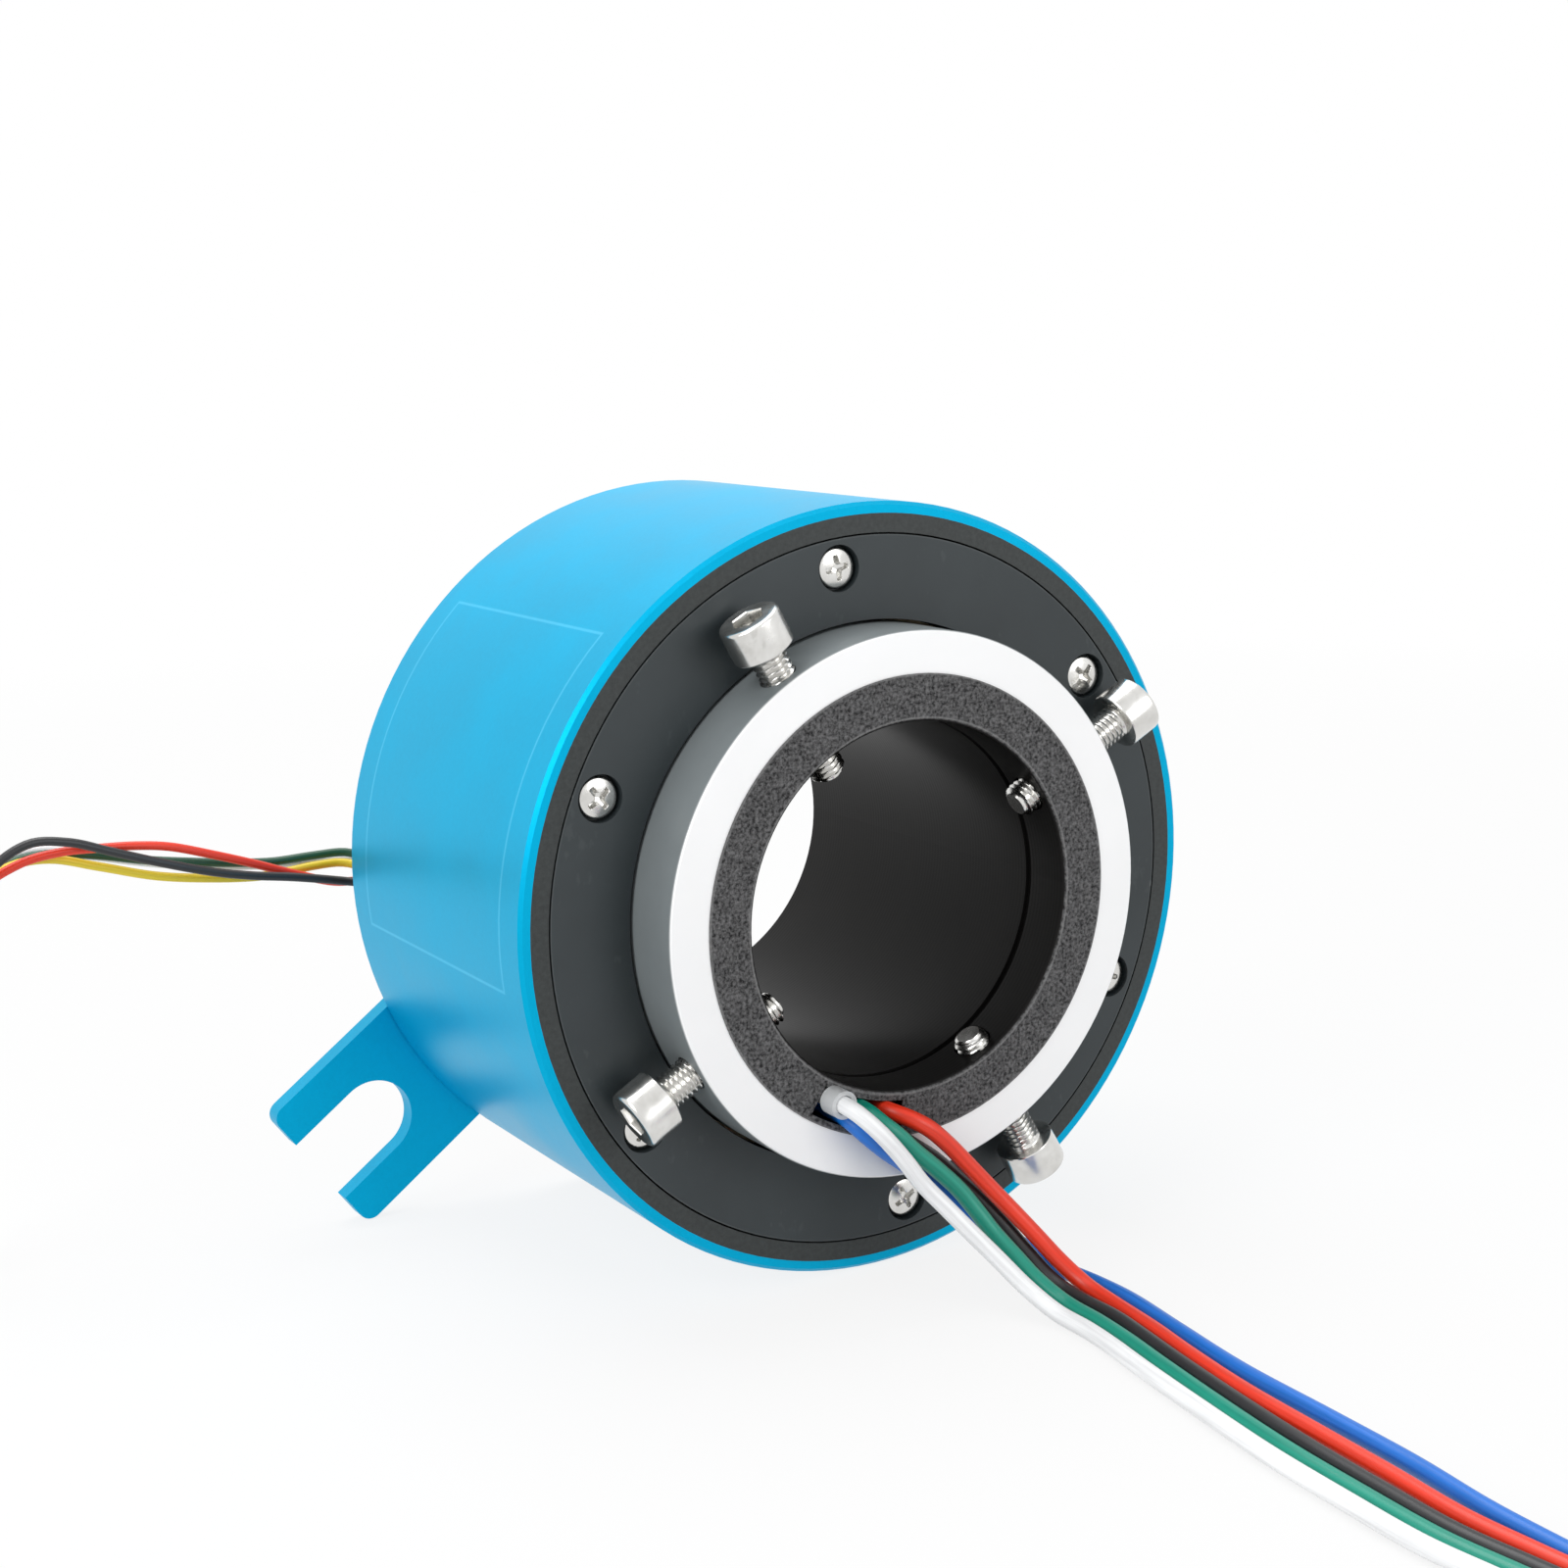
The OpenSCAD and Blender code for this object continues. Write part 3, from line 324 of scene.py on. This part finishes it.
# Radius and height of the head's outline, from under the head to the socket's mouth.
CLAMP_HEAD = np.array([
    (3.95, 0), (4.15, 0.05), (4.25, 0.2), (4.25, 1.6), (4.25, 3.2), (4.25, 4.5), (4.22, 4.68),
    (4.13, 4.83), (4.0, 4.93), (3.82, 5.0), (3.2, 5.0), (2.62, 5.0)])

COVER_SCREWS_R = 45.6
COVER_SCREW_ANGLE = 96.5
COVER_SCREW_TURNS = (12, 50, 70, 28, 63, 38)
COVER_HEAD_R = 2.8
# Radius and depth of a cover screw's outline, from its end in the flange to the head's edge.
COVER_SHANK = np.array([
    (0.9, 10.0), (1.5, 9.6), (1.5, 2.3), (2.1, 2.2), (2.74, 1.9), (2.8, 1.5), (2.8, 0.95),
    (2.74, 0.78)])


def clamp_screw(name, angle, tip):
    """A socket cap screw as one surface of revolution whose rows run from the tip's centre, up the
    thread, under and over the head and down into the socket. On the thread the radius falls from
    crest to root with the distance to the nearest helix turn; in the socket it is a hexagon's."""
    cols = 48
    a = 2 * math.pi * np.arange(cols) / cols
    z = np.concatenate([[0, 0.15], np.arange(0.3, CLAMP_LEN - 0.05, 0.1), [CLAMP_LEN]])
    turn = (z[:, None] / CLAMP_PITCH - a / (2 * math.pi)) % 1
    tooth = np.clip(1.25 * np.abs(2 * turn - 1) - 0.1, 0, 1)
    fade = np.clip(z / 0.9, 0, 1) * np.clip((CLAMP_LEN - z) / 0.8, 0, 1)
    point = 0.75 * np.clip(1 - z / 0.7, 0, 1)
    thread_r = CLAMP_CREST_R - CLAMP_THREAD_DEEP * tooth * (0.25 + 0.75 * fade)[:, None] - point[:, None]
    head_r = np.repeat(CLAMP_HEAD[:, :1], cols, axis=1)
    sixth = (a + math.pi / 6) % (math.pi / 3) - math.pi / 6
    hexagon = CLAMP_KEY_R / np.cos(sixth)
    socket_r = np.stack([hexagon + 0.16, hexagon + 0.04, hexagon, hexagon, 0.96 * hexagon, 0.5 * hexagon])
    socket_z = np.array([4.99, 4.92, 4.8, 2.5, 2.4, 2.15])
    r = np.vstack([thread_r, head_r, socket_r])
    h = np.concatenate([z, CLAMP_LEN + CLAMP_HEAD[:, 1], CLAMP_LEN + socket_z])
    out = np.array([math.cos(angle), 0, math.sin(angle)])
    across = np.array([0.0, 1.0, 0.0])
    other = np.cross(out, across)
    grid = (np.array([0, -CLAMP_OUT, 0]) + (tip + h)[:, None, None] * out
            + (r * np.cos(a))[..., None] * across + (r * np.sin(a))[..., None] * other) * MM
    return new_piece(name, shell(grid), shell_faces(len(h), cols), 28)


def cross_depth(x, y):
    """Depth of the cross recess: its four arms narrow outwards and deepen to the middle, where a
    square hub joins them. x and y are the distances from the recess's two centre lines."""
    aside, along = np.minimum(x, y), np.maximum(x, y)
    arm = np.clip((0.46 - 0.07 * along - aside) / 0.12, 0, 1) * np.clip((1.78 - along) / 0.3, 0, 1)
    hub = np.clip((1.05 - (x + y)) / 0.2, 0, 1)
    return np.maximum(arm, hub) * (1.25 - 0.35 * along)


def cover_screw_heads(name):
    """Six cross-recess screws in one mesh. Each is a revolved shank and head; the crown's depth
    grows with a power of the radius, and the cross recess is added to it."""
    cols = 96
    a = 2 * math.pi * np.arange(cols) / cols
    crown_r = np.concatenate([[2.62, 2.45], np.linspace(2.3, 0.06, 38)])[:, None]
    crown = 0.3 + 0.42 * (crown_r / COVER_HEAD_R) ** 2.4
    cut = cross_depth(np.abs(crown_r * np.cos(a)), np.abs(crown_r * np.sin(a)))
    r = np.vstack([np.repeat(COVER_SHANK[:, :1], cols, axis=1), np.repeat(crown_r, cols, axis=1)])
    depth = np.vstack([np.repeat(COVER_SHANK[:, 1:], cols, axis=1), crown + cut])
    points, faces = [], []
    for k, turn in enumerate(COVER_SCREW_TURNS):
        place = math.radians(COVER_SCREW_ANGLE - 60 * k)
        spin = a + math.radians(turn)
        grid = np.stack([COVER_SCREWS_R * math.cos(place) + r * np.cos(spin), depth,
                         COVER_SCREWS_R * math.sin(place) + r * np.sin(spin)], -1) * MM
        faces += shell_faces(len(r), cols, sum(len(p) for p in points))
        points.append(shell(grid))
    return new_piece(name, np.vstack(points), faces, 32)


def make_screws():
    """The four clamp screws, each on its own body, and the cover screws."""
    screws = []
    for k, tip in enumerate(CLAMP_TIPS):
        name = f"clamp_screw_{k + 1}"
        piece = clamp_screw(f"cap_screw_{k + 1}", math.radians(CLAMP_ANGLE - 90 * k), tip)
        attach(piece, name)
        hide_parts(name)
        screws.append(piece)
    heads = cover_screw_heads("cross_head_screws")
    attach(heads, "stator")
    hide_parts("cover_screws")
    return screws + [heads]


screws = make_screws()

# ---------------------------------------------------------------- material helpers


class Maker:
    """Adds nodes to one tree and links them, with maths written as calls."""

    def __init__(self, tree):
        self.tree = tree

    def add(self, kind, **values):
        node = self.tree.nodes.new(kind)
        for key, value in values.items():
            setattr(node, key, value)
        return node

    def put(self, socket, value):
        if isinstance(value, bpy.types.NodeSocket):
            self.tree.links.new(value, socket)
        else:
            socket.default_value = value

    def math(self, operation, *values, clamp=False):
        node = self.add("ShaderNodeMath", operation=operation, use_clamp=clamp)
        for socket, value in zip(node.inputs, values):
            self.put(socket, value)
        return node.outputs[0]

    def blend(self, mask, low, high):
        node = self.add("ShaderNodeMix", data_type="RGBA")
        self.put(node.inputs["Factor"], mask)
        self.put(node.inputs[6], low)
        self.put(node.inputs[7], high)
        return node.outputs[2]

    def span(self, value, low, high, to_low=0.0, to_high=1.0):
        node = self.add("ShaderNodeMapRange")
        for key, entry in zip(("Value", "From Min", "From Max", "To Min", "To Max"),
                              (value, low, high, to_low, to_high)):
            self.put(node.inputs[key], entry)
        return node.outputs[0]

    def noise(self, place, scale, detail=4.0, roughness=0.55):
        node = self.add("ShaderNodeTexNoise")
        self.put(node.inputs["Vector"], place)
        self.put(node.inputs["Scale"], scale)
        node.inputs["Detail"].default_value = detail
        node.inputs["Roughness"].default_value = roughness
        return node.outputs["Fac"]

    def place(self):
        return self.add("ShaderNodeTexCoord").outputs["Object"]

    def group(self, tree, **values):
        node = self.add("ShaderNodeGroup")
        node.node_tree = tree
        for key, value in values.items():
            self.put(node.inputs[key.replace("_", " ")], value)
        return node


def effect(name, inputs, outputs):
    """An empty node group with named float or vector inputs and float outputs."""
    tree = bpy.data.node_groups.new(name, "ShaderNodeTree")
    for key, kind, value in inputs:
        socket = tree.interface.new_socket(key, in_out="INPUT", socket_type=kind)
        if value is not None:
            socket.default_value = value
    for key in outputs:
        tree.interface.new_socket(key, in_out="OUTPUT", socket_type="NodeSocketFloat")
    make = Maker(tree)
    return tree, make, make.add("NodeGroupInput"), make.add("NodeGroupOutput")


def barrel_group():
    """Position round the bore axis: radius and angle (as a fraction of a turn) and distance along it."""
    tree, m, here, out = effect("round_the_bore", [("Place", "NodeSocketVector", None)],
                                ["Radius", "Turn", "Along"])
    part = m.add("ShaderNodeSeparateXYZ")
    m.put(part.inputs[0], here.outputs["Place"])
    x, y, z = part.outputs
    radius = m.math("SQRT", m.math("ADD", m.math("MULTIPLY", x, x), m.math("MULTIPLY", z, z)))
    turn = m.math("DIVIDE", m.math("ARCTAN2", z, x), 2 * math.pi)
    for key, value in (("Radius", radius), ("Turn", turn), ("Along", y)):
        m.put(out.inputs[key], value)
    return tree


def grain_group():
    """Blasted or moulded grain: fine height with a share of coarser patches, and a slow mottle."""
    tree, m, here, out = effect(
        "surface_grain",
        [("Place", "NodeSocketVector", None), ("Fineness", "NodeSocketFloat", 2500.0),
         ("Patch Size", "NodeSocketFloat", 90.0)], ["Height", "Mottle"])
    fine = m.noise(here.outputs["Place"], here.outputs["Fineness"], 3.0, 0.65)
    coarse = m.noise(here.outputs["Place"], m.math("MULTIPLY", here.outputs["Fineness"], 0.45), 2.0)
    height = m.math("ADD", m.math("MULTIPLY", fine, 0.8), m.math("MULTIPLY", coarse, 0.2))
    m.put(out.inputs["Height"], height)
    m.put(out.inputs["Mottle"], m.noise(here.outputs["Place"], here.outputs["Patch Size"], 4.0))
    return tree


def scuff_group():
    """Handling marks: sparse thin streaks where a stretched noise peaks, broken up by a second one."""
    tree, m, here, out = effect(
        "handling_scuffs",
        [("Place", "NodeSocketVector", None), ("Amount", "NodeSocketFloat", 0.5)], ["Mask"])
    stretch = m.add("ShaderNodeVectorMath", operation="MULTIPLY")
    m.put(stretch.inputs[0], here.outputs["Place"])
    stretch.inputs[1].default_value = (1.0, 0.18, 0.5)
    streak = m.noise(stretch.outputs[0], 900.0, 2.0)
    breaks = m.noise(here.outputs["Place"], 120.0, 2.0)
    peak = m.span(m.math("MULTIPLY", streak, breaks), 0.36, 0.44)
    m.put(out.inputs["Mask"], m.math("MULTIPLY", peak, here.outputs["Amount"], clamp=True))
    return tree


ROUND = barrel_group()
GRAIN = grain_group()
SCUFF = scuff_group()


def finish(name, colour, rough, metal, height, strength, distance=0.02, extra=None):
    """A Principled material. colour, rough and metal are builders that take the Maker, or plain
    values. The bump's height is a builder too, and its distance is in millimetres. extra holds
    constants for the shader's own sockets."""
    material = bpy.data.materials.new(name)
    material.use_nodes = True
    tree = material.node_tree
    m = Maker(tree)
    shader = tree.nodes["Principled BSDF"]
    for key, value in (("Base Color", colour), ("Roughness", rough), ("Metallic", metal)):
        m.put(shader.inputs[key], value(m) if callable(value) else value)
    bump = m.add("ShaderNodeBump")
    bump.inputs["Strength"].default_value = strength
    bump.inputs["Distance"].default_value = distance * MM
    m.put(bump.inputs["Height"], height(m))
    m.put(shader.inputs["Normal"], bump.outputs["Normal"])
    for key, value in (extra or {}).items():
        shader.inputs[key].default_value = value
    return material


def around(m):
    """Radius, Turn and Along of the point on the surface."""
    return m.group(ROUND, Place=m.place()).outputs


def grain_at(m, fineness, patch=90.0):
    """Height and Mottle of the point on the surface."""
    return m.group(GRAIN, Place=m.place(), Fineness=fineness, Patch_Size=patch).outputs


def scuffs(m, amount):
    """Mask of the handling marks."""
    return m.group(SCUFF, Place=m.place(), Amount=amount).outputs["Mask"]


def near(m, value, middle, reach):
    """1 at middle, falling to 0 at a distance of reach."""
    off = m.math("ABSOLUTE", m.math("SUBTRACT", value, middle))
    return m.span(off, 0.0, reach, 1.0, 0.0)


def both(m, a, b):
    """1 only where both masks are 1: their product."""
    return m.math("MULTIPLY", a, b)


def two_shades(m, mottle, low, high):
    """Two near shades that change over the mottle's patches."""
    return m.blend(m.span(mottle, 0.3, 0.7), low + (1,), high + (1,))


# ---------------------------------------------------------------- finishes

# The empty frame on the barrel: its middle's angle in degrees and place along the bore in metres,
# then its half sizes and the length of one degree of arc in millimetres.
FRAME_ANGLE = 161.0
FRAME_Y = 0.0285
FRAME_HALF_ARC = 25.0
FRAME_HALF_LENGTH = 22.5
DEGREE_ARC = 0.942

# Radii and a place along the bore, in metres, that part one finish on a piece from another.
# The sleeve's two radii place the painted highlight rings at the edges of its face.
BARREL_SKIN_R = 0.0535
COVER_SEAM_R = (0.0495, 0.0499)
SLEEVE_HIGHLIGHT_R = (0.0317, 0.02585)
ROTOR_FACE_Y = -0.0097


def label_frame(m):
    """The thin lines of the empty frame cut in the barrel's left side: a rectangle in angle and
    length, about 0.4 mm wide."""
    bore = around(m)
    degrees = m.math("MODULO", m.math("ADD", m.math("MULTIPLY", bore["Turn"], 360.0), 360.0), 360.0)
    arc = m.math("MULTIPLY", m.math("SUBTRACT", degrees, FRAME_ANGLE), DEGREE_ARC)
    along = m.math("MULTIPLY", m.math("SUBTRACT", bore["Along"], FRAME_Y), 1000.0)
    off_arc = m.math("SUBTRACT", m.math("ABSOLUTE", arc), FRAME_HALF_ARC)
    off_along = m.math("SUBTRACT", m.math("ABSOLUTE", along), FRAME_HALF_LENGTH)
    edge = m.math("ABSOLUTE", m.math("MAXIMUM", off_arc, off_along))
    outside = m.math("GREATER_THAN", bore["Radius"], BARREL_SKIN_R)
    return both(m, m.span(edge, 0.12, 0.3, 1.0, 0.0), outside)


def blue_colour(m):
    grain = grain_at(m, 1800.0, 55.0)
    base = two_shades(m, grain["Mottle"], (0.0, 0.365, 0.62), (0.0, 0.405, 0.68))
    fine = m.blend(m.span(grain["Height"], 0.35, 0.65, 0.0, 0.15), base, (0.0, 0.54, 0.84, 1))
    return m.blend(both(m, label_frame(m), 0.4), fine, (0.12, 0.66, 0.95, 1))


def blue_rough(m):
    return m.span(grain_at(m, 1800.0, 55.0)["Mottle"], 0.3, 0.7, 0.34, 0.42)


def blasted(fineness):
    """A builder of the fine height of a blasted or moulded surface."""
    def height(m):
        return grain_at(m, fineness)["Height"]
    return height


def black_cover_colour(m):
    mottle = grain_at(m, 2200.0, 45.0)["Mottle"]
    base = two_shades(m, mottle, (0.019, 0.026, 0.029), (0.028, 0.037, 0.041))
    radius = around(m)["Radius"]
    seam = m.math("MAXIMUM", *(near(m, radius, r, 0.00018) for r in COVER_SEAM_R))
    worn = scuffs(m, 0.5)
    rubbed = m.math("ADD", both(m, worn, 0.8), 0.12)
    marked = m.blend(both(m, seam, rubbed), base, (0.3, 0.32, 0.32, 1))
    return m.blend(both(m, worn, 0.12), marked, (0.2, 0.22, 0.22, 1))


def black_flange_colour(m):
    height = grain_at(m, 1500.0)["Height"]
    return m.blend(m.span(height, 0.35, 0.65), (0.018, 0.022, 0.022, 1), (0.032, 0.038, 0.038, 1))


def sleeve_face(m):
    """1 on the sleeve's face, 0 in its bore."""
    return m.span(around(m)["Along"], -0.00985, ROTOR_FACE_Y, 1.0, 0.0)


def sleeve_colour(m):
    grain = grain_at(m, 2100.0, 60.0)
    radius = around(m)["Radius"]
    height = m.span(grain["Height"], 0.38, 0.64)
    grainy = m.blend(height, (0.014, 0.014, 0.0145, 1), (0.16, 0.159, 0.162, 1))
    smooth = two_shades(m, grain["Mottle"], (0.005, 0.0048, 0.0046), (0.010, 0.0096, 0.0092))
    base = m.blend(sleeve_face(m), smooth, grainy)
    # Painted highlight: thin light-grey rings at the outer and inner edges of the sleeve's face, where
    # light catches them.
    edge = m.math("MAXIMUM", *(near(m, radius, r, 0.00022) for r in SLEEVE_HIGHLIGHT_R))
    return m.blend(both(m, both(m, edge, 0.45), sleeve_face(m)), base, (0.3, 0.3, 0.3, 1))


def sleeve_rough(m):
    return m.span(sleeve_face(m), 0.0, 1.0, 0.3, 0.62)


def sleeve_height(m):
    """Grain on the face, faint turning rings in the bore."""
    rings = m.math("SINE", m.math("MULTIPLY", around(m)["Along"], 9000.0))
    bored = m.math("SUBTRACT", 1.0, sleeve_face(m))
    return m.math("ADD", both(m, grain_at(m, 2100.0)["Height"], sleeve_face(m)),
                  both(m, both(m, rings, 0.02), bored))


def collar_face(m):
    """1 on the collar's bright face, 0 on its dark side."""
    return m.span(around(m)["Along"], -0.00955, ROTOR_FACE_Y, 0.0, 1.0)


def collar_colour(m):
    mottle = grain_at(m, 1700.0, 50.0)["Mottle"]
    dark = two_shades(m, mottle, (0.17, 0.19, 0.197), (0.21, 0.235, 0.242))
    bare = two_shades(m, mottle, (0.88, 0.885, 0.89), (0.92, 0.925, 0.93))
    return m.blend(collar_face(m), dark, bare)


def collar_metal(m):
    return both(m, collar_face(m), 0.35)


def collar_height(m):
    """Fine turning rings on the face over an even grain."""
    rings = m.math("SINE", m.math("MULTIPLY", around(m)["Radius"], 30000.0))
    return m.math("ADD", both(m, both(m, rings, 0.2), collar_face(m)), grain_at(m, 1700.0)["Height"])


def plate_colour(m):
    base = two_shades(m, grain_at(m, 1200.0, 260.0)["Mottle"], (0.62, 0.61, 0.585), (0.78, 0.775, 0.755))
    return m.blend(scuffs(m, 0.25), base, (0.4, 0.39, 0.36, 1))


def plate_rough(m):
    return m.span(grain_at(m, 1200.0, 260.0)["Mottle"], 0.3, 0.7, 0.16, 0.28)


def mottled(low, high):
    """A builder of two near shades that change over patches."""
    def colour(m):
        return two_shades(m, grain_at(m, 1500.0, 80.0)["Mottle"], low, high)
    return colour


def jacket(name, colour):
    """Lead jacket: its colour with faint drawn lines along it and slow patches, and tinned strands
    where the jacket is stripped off the end."""
    def run(m):
        part = m.add("ShaderNodeSeparateXYZ")
        m.put(part.inputs[0], m.add("ShaderNodeUVMap", uv_map="UVMap").outputs["UV"])
        return part.outputs

    def lines(m):
        place = run(m)
        flat = m.add("ShaderNodeCombineXYZ")
        m.put(flat.inputs[0], m.math("MULTIPLY", place["X"], 14.0))
        m.put(flat.inputs[1], m.math("MULTIPLY", place["Y"], 60.0))
        return m.noise(flat.outputs[0], 1.0, 3.0)

    def bare(m):
        return m.math("LESS_THAN", run(m)["Y"], -0.05)

    def shade(m):
        deep = tuple(0.82 * c for c in colour)
        pale = tuple(min(1.0, 1.1 * c + 0.004) for c in colour)
        return m.blend(bare(m), two_shades(m, lines(m), deep, pale), (0.66, 0.65, 0.62, 1))

    def roughness(m):
        return m.span(lines(m), 0.3, 0.7, 0.33, 0.45)

    def strands(m):
        place = run(m)
        turn = m.math("MULTIPLY", place["X"], 43.98)
        twist = m.math("SINE", m.math("ADD", turn, m.math("MULTIPLY", place["Y"], 900.0)))
        return m.math("ADD", both(m, twist, bare(m)), both(m, lines(m), 0.3))

    return finish(name, shade, roughness, bare, strands, 0.35, 0.05)


# Finish, two near shades, roughness, metallic, fineness of the grain and strength of its bump.
PLAIN_FINISHES = [
    ("bearing_steel", (0.5, 0.5, 0.5), (0.62, 0.62, 0.61), 0.22, 1.0, 2500.0, 0.05),
    ("spring_steel", (0.04, 0.04, 0.045), (0.08, 0.08, 0.085), 0.4, 0.8, 1500.0, 0.1),
    ("cage_plastic", (0.55, 0.44, 0.27), (0.62, 0.5, 0.32), 0.5, 0.0, 1500.0, 0.1),
    ("ring_brass", (0.68, 0.45, 0.14), (0.8, 0.56, 0.22), 0.25, 1.0, 2500.0, 0.06),
    ("brush_gold", (0.8, 0.55, 0.2), (0.9, 0.65, 0.28), 0.2, 1.0, 2500.0, 0.05),
    ("insulator_plastic", (0.7, 0.66, 0.52), (0.78, 0.74, 0.6), 0.5, 0.0, 1200.0, 0.12),
    ("black_rubber", (0.014, 0.014, 0.014), (0.024, 0.024, 0.024), 0.6, 0.0, 1200.0, 0.2),
]
JACKET_COLOURS = {
    "white": (0.88, 0.89, 0.9),
    "blue": (0.002, 0.15, 0.60),
    "green": (0.0, 0.27, 0.185),
    "dark_green": (0.008, 0.075, 0.035),
    "black": (0.012, 0.012, 0.014),
    "red": (0.80, 0.032, 0.006),
    "yellow": (0.75, 0.56, 0.02),
}


def make_finishes():
    """Every finish by its name; the jackets are named lead_ and their colour."""
    rows = [
        ("blue_anodised", blue_colour, blue_rough, 0.6, blasted(1800.0), 0.12, 0.03,
         {"Specular IOR Level": 0.1}),
        ("black_cover", black_cover_colour, 0.42, 0.1, blasted(2200.0), 0.1),
        ("black_flange", black_flange_colour, 0.52, 0.1, blasted(1500.0), 0.3, 0.04),
        ("black_sleeve", sleeve_colour, sleeve_rough, 0.15, sleeve_height, 0.55, 0.16,
         {"Specular IOR Level": 0.12}),
        ("clamp_collar", collar_colour, 0.4, collar_metal, collar_height, 0.1),
        ("plated_steel", plate_colour, plate_rough, 1.0, blasted(1200.0), 0.06),
        ("clear_plastic", mottled((0.74, 0.76, 0.77), (0.84, 0.85, 0.86)), 0.25, 0.0,
         blasted(900.0), 0.15, 0.02, {"Alpha": 0.55}),
    ]
    for name, low, high, rough, metal, fineness, strength in PLAIN_FINISHES:
        rows.append((name, mottled(low, high), rough, metal, blasted(fineness), strength))
    made = {row[0]: finish(*row) for row in rows}
    for colour, shade in JACKET_COLOURS.items():
        made[f"lead_{colour}"] = jacket(f"lead_{colour}", shade)
    return made


def dress(piece, material):
    """Gives every material slot of a piece this material."""
    if not piece.data.materials:
        piece.data.materials.append(material)
    for k in range(len(piece.data.materials)):
        piece.data.materials[k] = material
    for place in piece.material_slots:
        place.material = material


NODE_FINISHES = {
    "blue_anodised": ["housing", "torque_tab"],
    "black_cover": ["front_cover", "rear_plate"],
    "black_flange": ["front_flange"],
    "black_sleeve": ["rotor_sleeve"],
    "clamp_collar": ["clamp_collar"],
    "plated_steel": ["tie_screws", "tab_screws"],
    "bearing_steel": [
        f"{end}_bearing_{part}" for end in ("front", "rear") for part in ("outer", "inner", "balls")],
    "cage_plastic": ["front_bearing_cage", "rear_bearing_cage"],
    "spring_steel": ["retaining_ring"],
    "ring_brass": [f"ring_{k}" for k in range(1, 6)],
    "brush_gold": [f"brush_{k}" for k in range(1, 6)],
    "insulator_plastic": ["brush_block"] + [f"insulator_{k}" for k in range(1, 7)],
    "black_rubber": ["lead_grommet"],
    "clear_plastic": ["lead_sleeve"],
}


def dress_all():
    """Gives each CAD node that shows, each screw and each lead its finish."""
    finishes = make_finishes()
    for name, nodes in NODE_FINISHES.items():
        for node in nodes:
            dress(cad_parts[node], finishes[name])
    for piece in screws:
        dress(piece, finishes["plated_steel"])
    for (body, colour), piece in leads.items():
        dress(piece, finishes[f"lead_{lead_shade(body, colour)}"])


dress_all()

# ---------------------------------------------------------------- studio

FLOOR_Z = -0.054
FLOOR_HALF = 6.0
FLOOR_DROP = 0.0003
LIGHT_AIM = (0, 0.02, 0)
# Name, place, size and power of each soft light.
LIGHTS = [
    ("top_box", (-0.05, 0.25, 0.75), (0.7, 0.5), 4.6),
    ("left_box", (-0.75, -0.2, 0.45), (0.4, 0.6), 3.2),
    ("front_box", (0.3, -0.85, 0.35), (0.5, 0.5), 2.4),
]


def seen_rays(m):
    """1 for rays from the camera, off glossy surfaces and through clear ones."""
    light = m.add("ShaderNodeLightPath").outputs
    straight = m.math("MAXIMUM", light["Is Camera Ray"], light["Is Glossy Ray"])
    return m.math("MAXIMUM", straight, light["Is Transmission Ray"])


def pale_floor():
    """A wide square just under the part. Seen rays find it white far out. Near the part a share of
    its own shade stays in it, which keeps the shadow."""
    x, z = FLOOR_HALF, FLOOR_Z - FLOOR_DROP
    mesh = bpy.data.meshes.new("studio_floor")
    mesh.from_pydata([(-x, -x, z), (x, -x, z), (x, x, z), (-x, x, z)], [], [(0, 1, 2, 3)])
    floor = bpy.data.objects.new("studio_floor", mesh)
    bpy.context.scene.collection.objects.link(floor)
    material = bpy.data.materials.new("studio_floor")
    material.use_nodes = True
    tree = material.node_tree
    m = Maker(tree)
    shader = tree.nodes["Principled BSDF"]
    shade = m.blend(m.noise(m.place(), 3.0), (0.72, 0.72, 0.72, 1), (0.74, 0.74, 0.74, 1))
    m.put(shader.inputs["Base Color"], shade)
    shader.inputs["Roughness"].default_value = 0.9
    shader.inputs["Specular IOR Level"].default_value = 0.0
    glow = m.add("ShaderNodeEmission")
    glow.inputs["Color"].default_value = (1, 1, 1, 1)
    far_out = m.add("ShaderNodeVectorMath", operation="LENGTH")
    m.put(far_out.inputs[0], m.place())
    mix = m.add("ShaderNodeMixShader")
    m.put(mix.inputs[0], both(m, seen_rays(m), m.span(far_out.outputs["Value"], 0.25, 0.7, 0.85, 1.0)))
    m.put(mix.inputs[1], shader.outputs[0])
    m.put(mix.inputs[2], glow.outputs[0])
    m.put(tree.nodes["Material Output"].inputs["Surface"], mix.outputs[0])
    mesh.materials.append(material)


def white_world():
    """White to seen rays, and a dimmer even light on the part."""
    world = bpy.data.worlds.new("studio_world")
    bpy.context.scene.world = world
    world.use_nodes = True
    m = Maker(world.node_tree)
    sky = world.node_tree.nodes["Background"]
    sky.inputs["Color"].default_value = (1, 1, 1, 1)
    m.put(sky.inputs["Strength"], m.span(seen_rays(m), 0.0, 1.0, 0.55, 1.0))


def soft_light(name, place, size, power):
    """A rectangular light that faces LIGHT_AIM, with its upper edge level."""
    data = bpy.data.lights.new(name, "AREA")
    data.shape = "RECTANGLE"
    data.size, data.size_y = size
    data.energy = power
    lamp = bpy.data.objects.new(name, data)
    bpy.context.scene.collection.objects.link(lamp)
    back = np.array(place) - np.array(LIGHT_AIM)
    back /= np.linalg.norm(back)
    side = np.cross((0, 0, 1), back)
    side /= np.linalg.norm(side)
    turn = np.eye(4)
    turn[:3, 0], turn[:3, 1], turn[:3, 2], turn[:3, 3] = side, np.cross(back, side), back, place
    lamp.matrix_world = Matrix(turn.tolist())


bpy.context.scene.view_settings.view_transform = "Standard"
pale_floor()
white_world()
for light in LIGHTS:
    soft_light(*light)
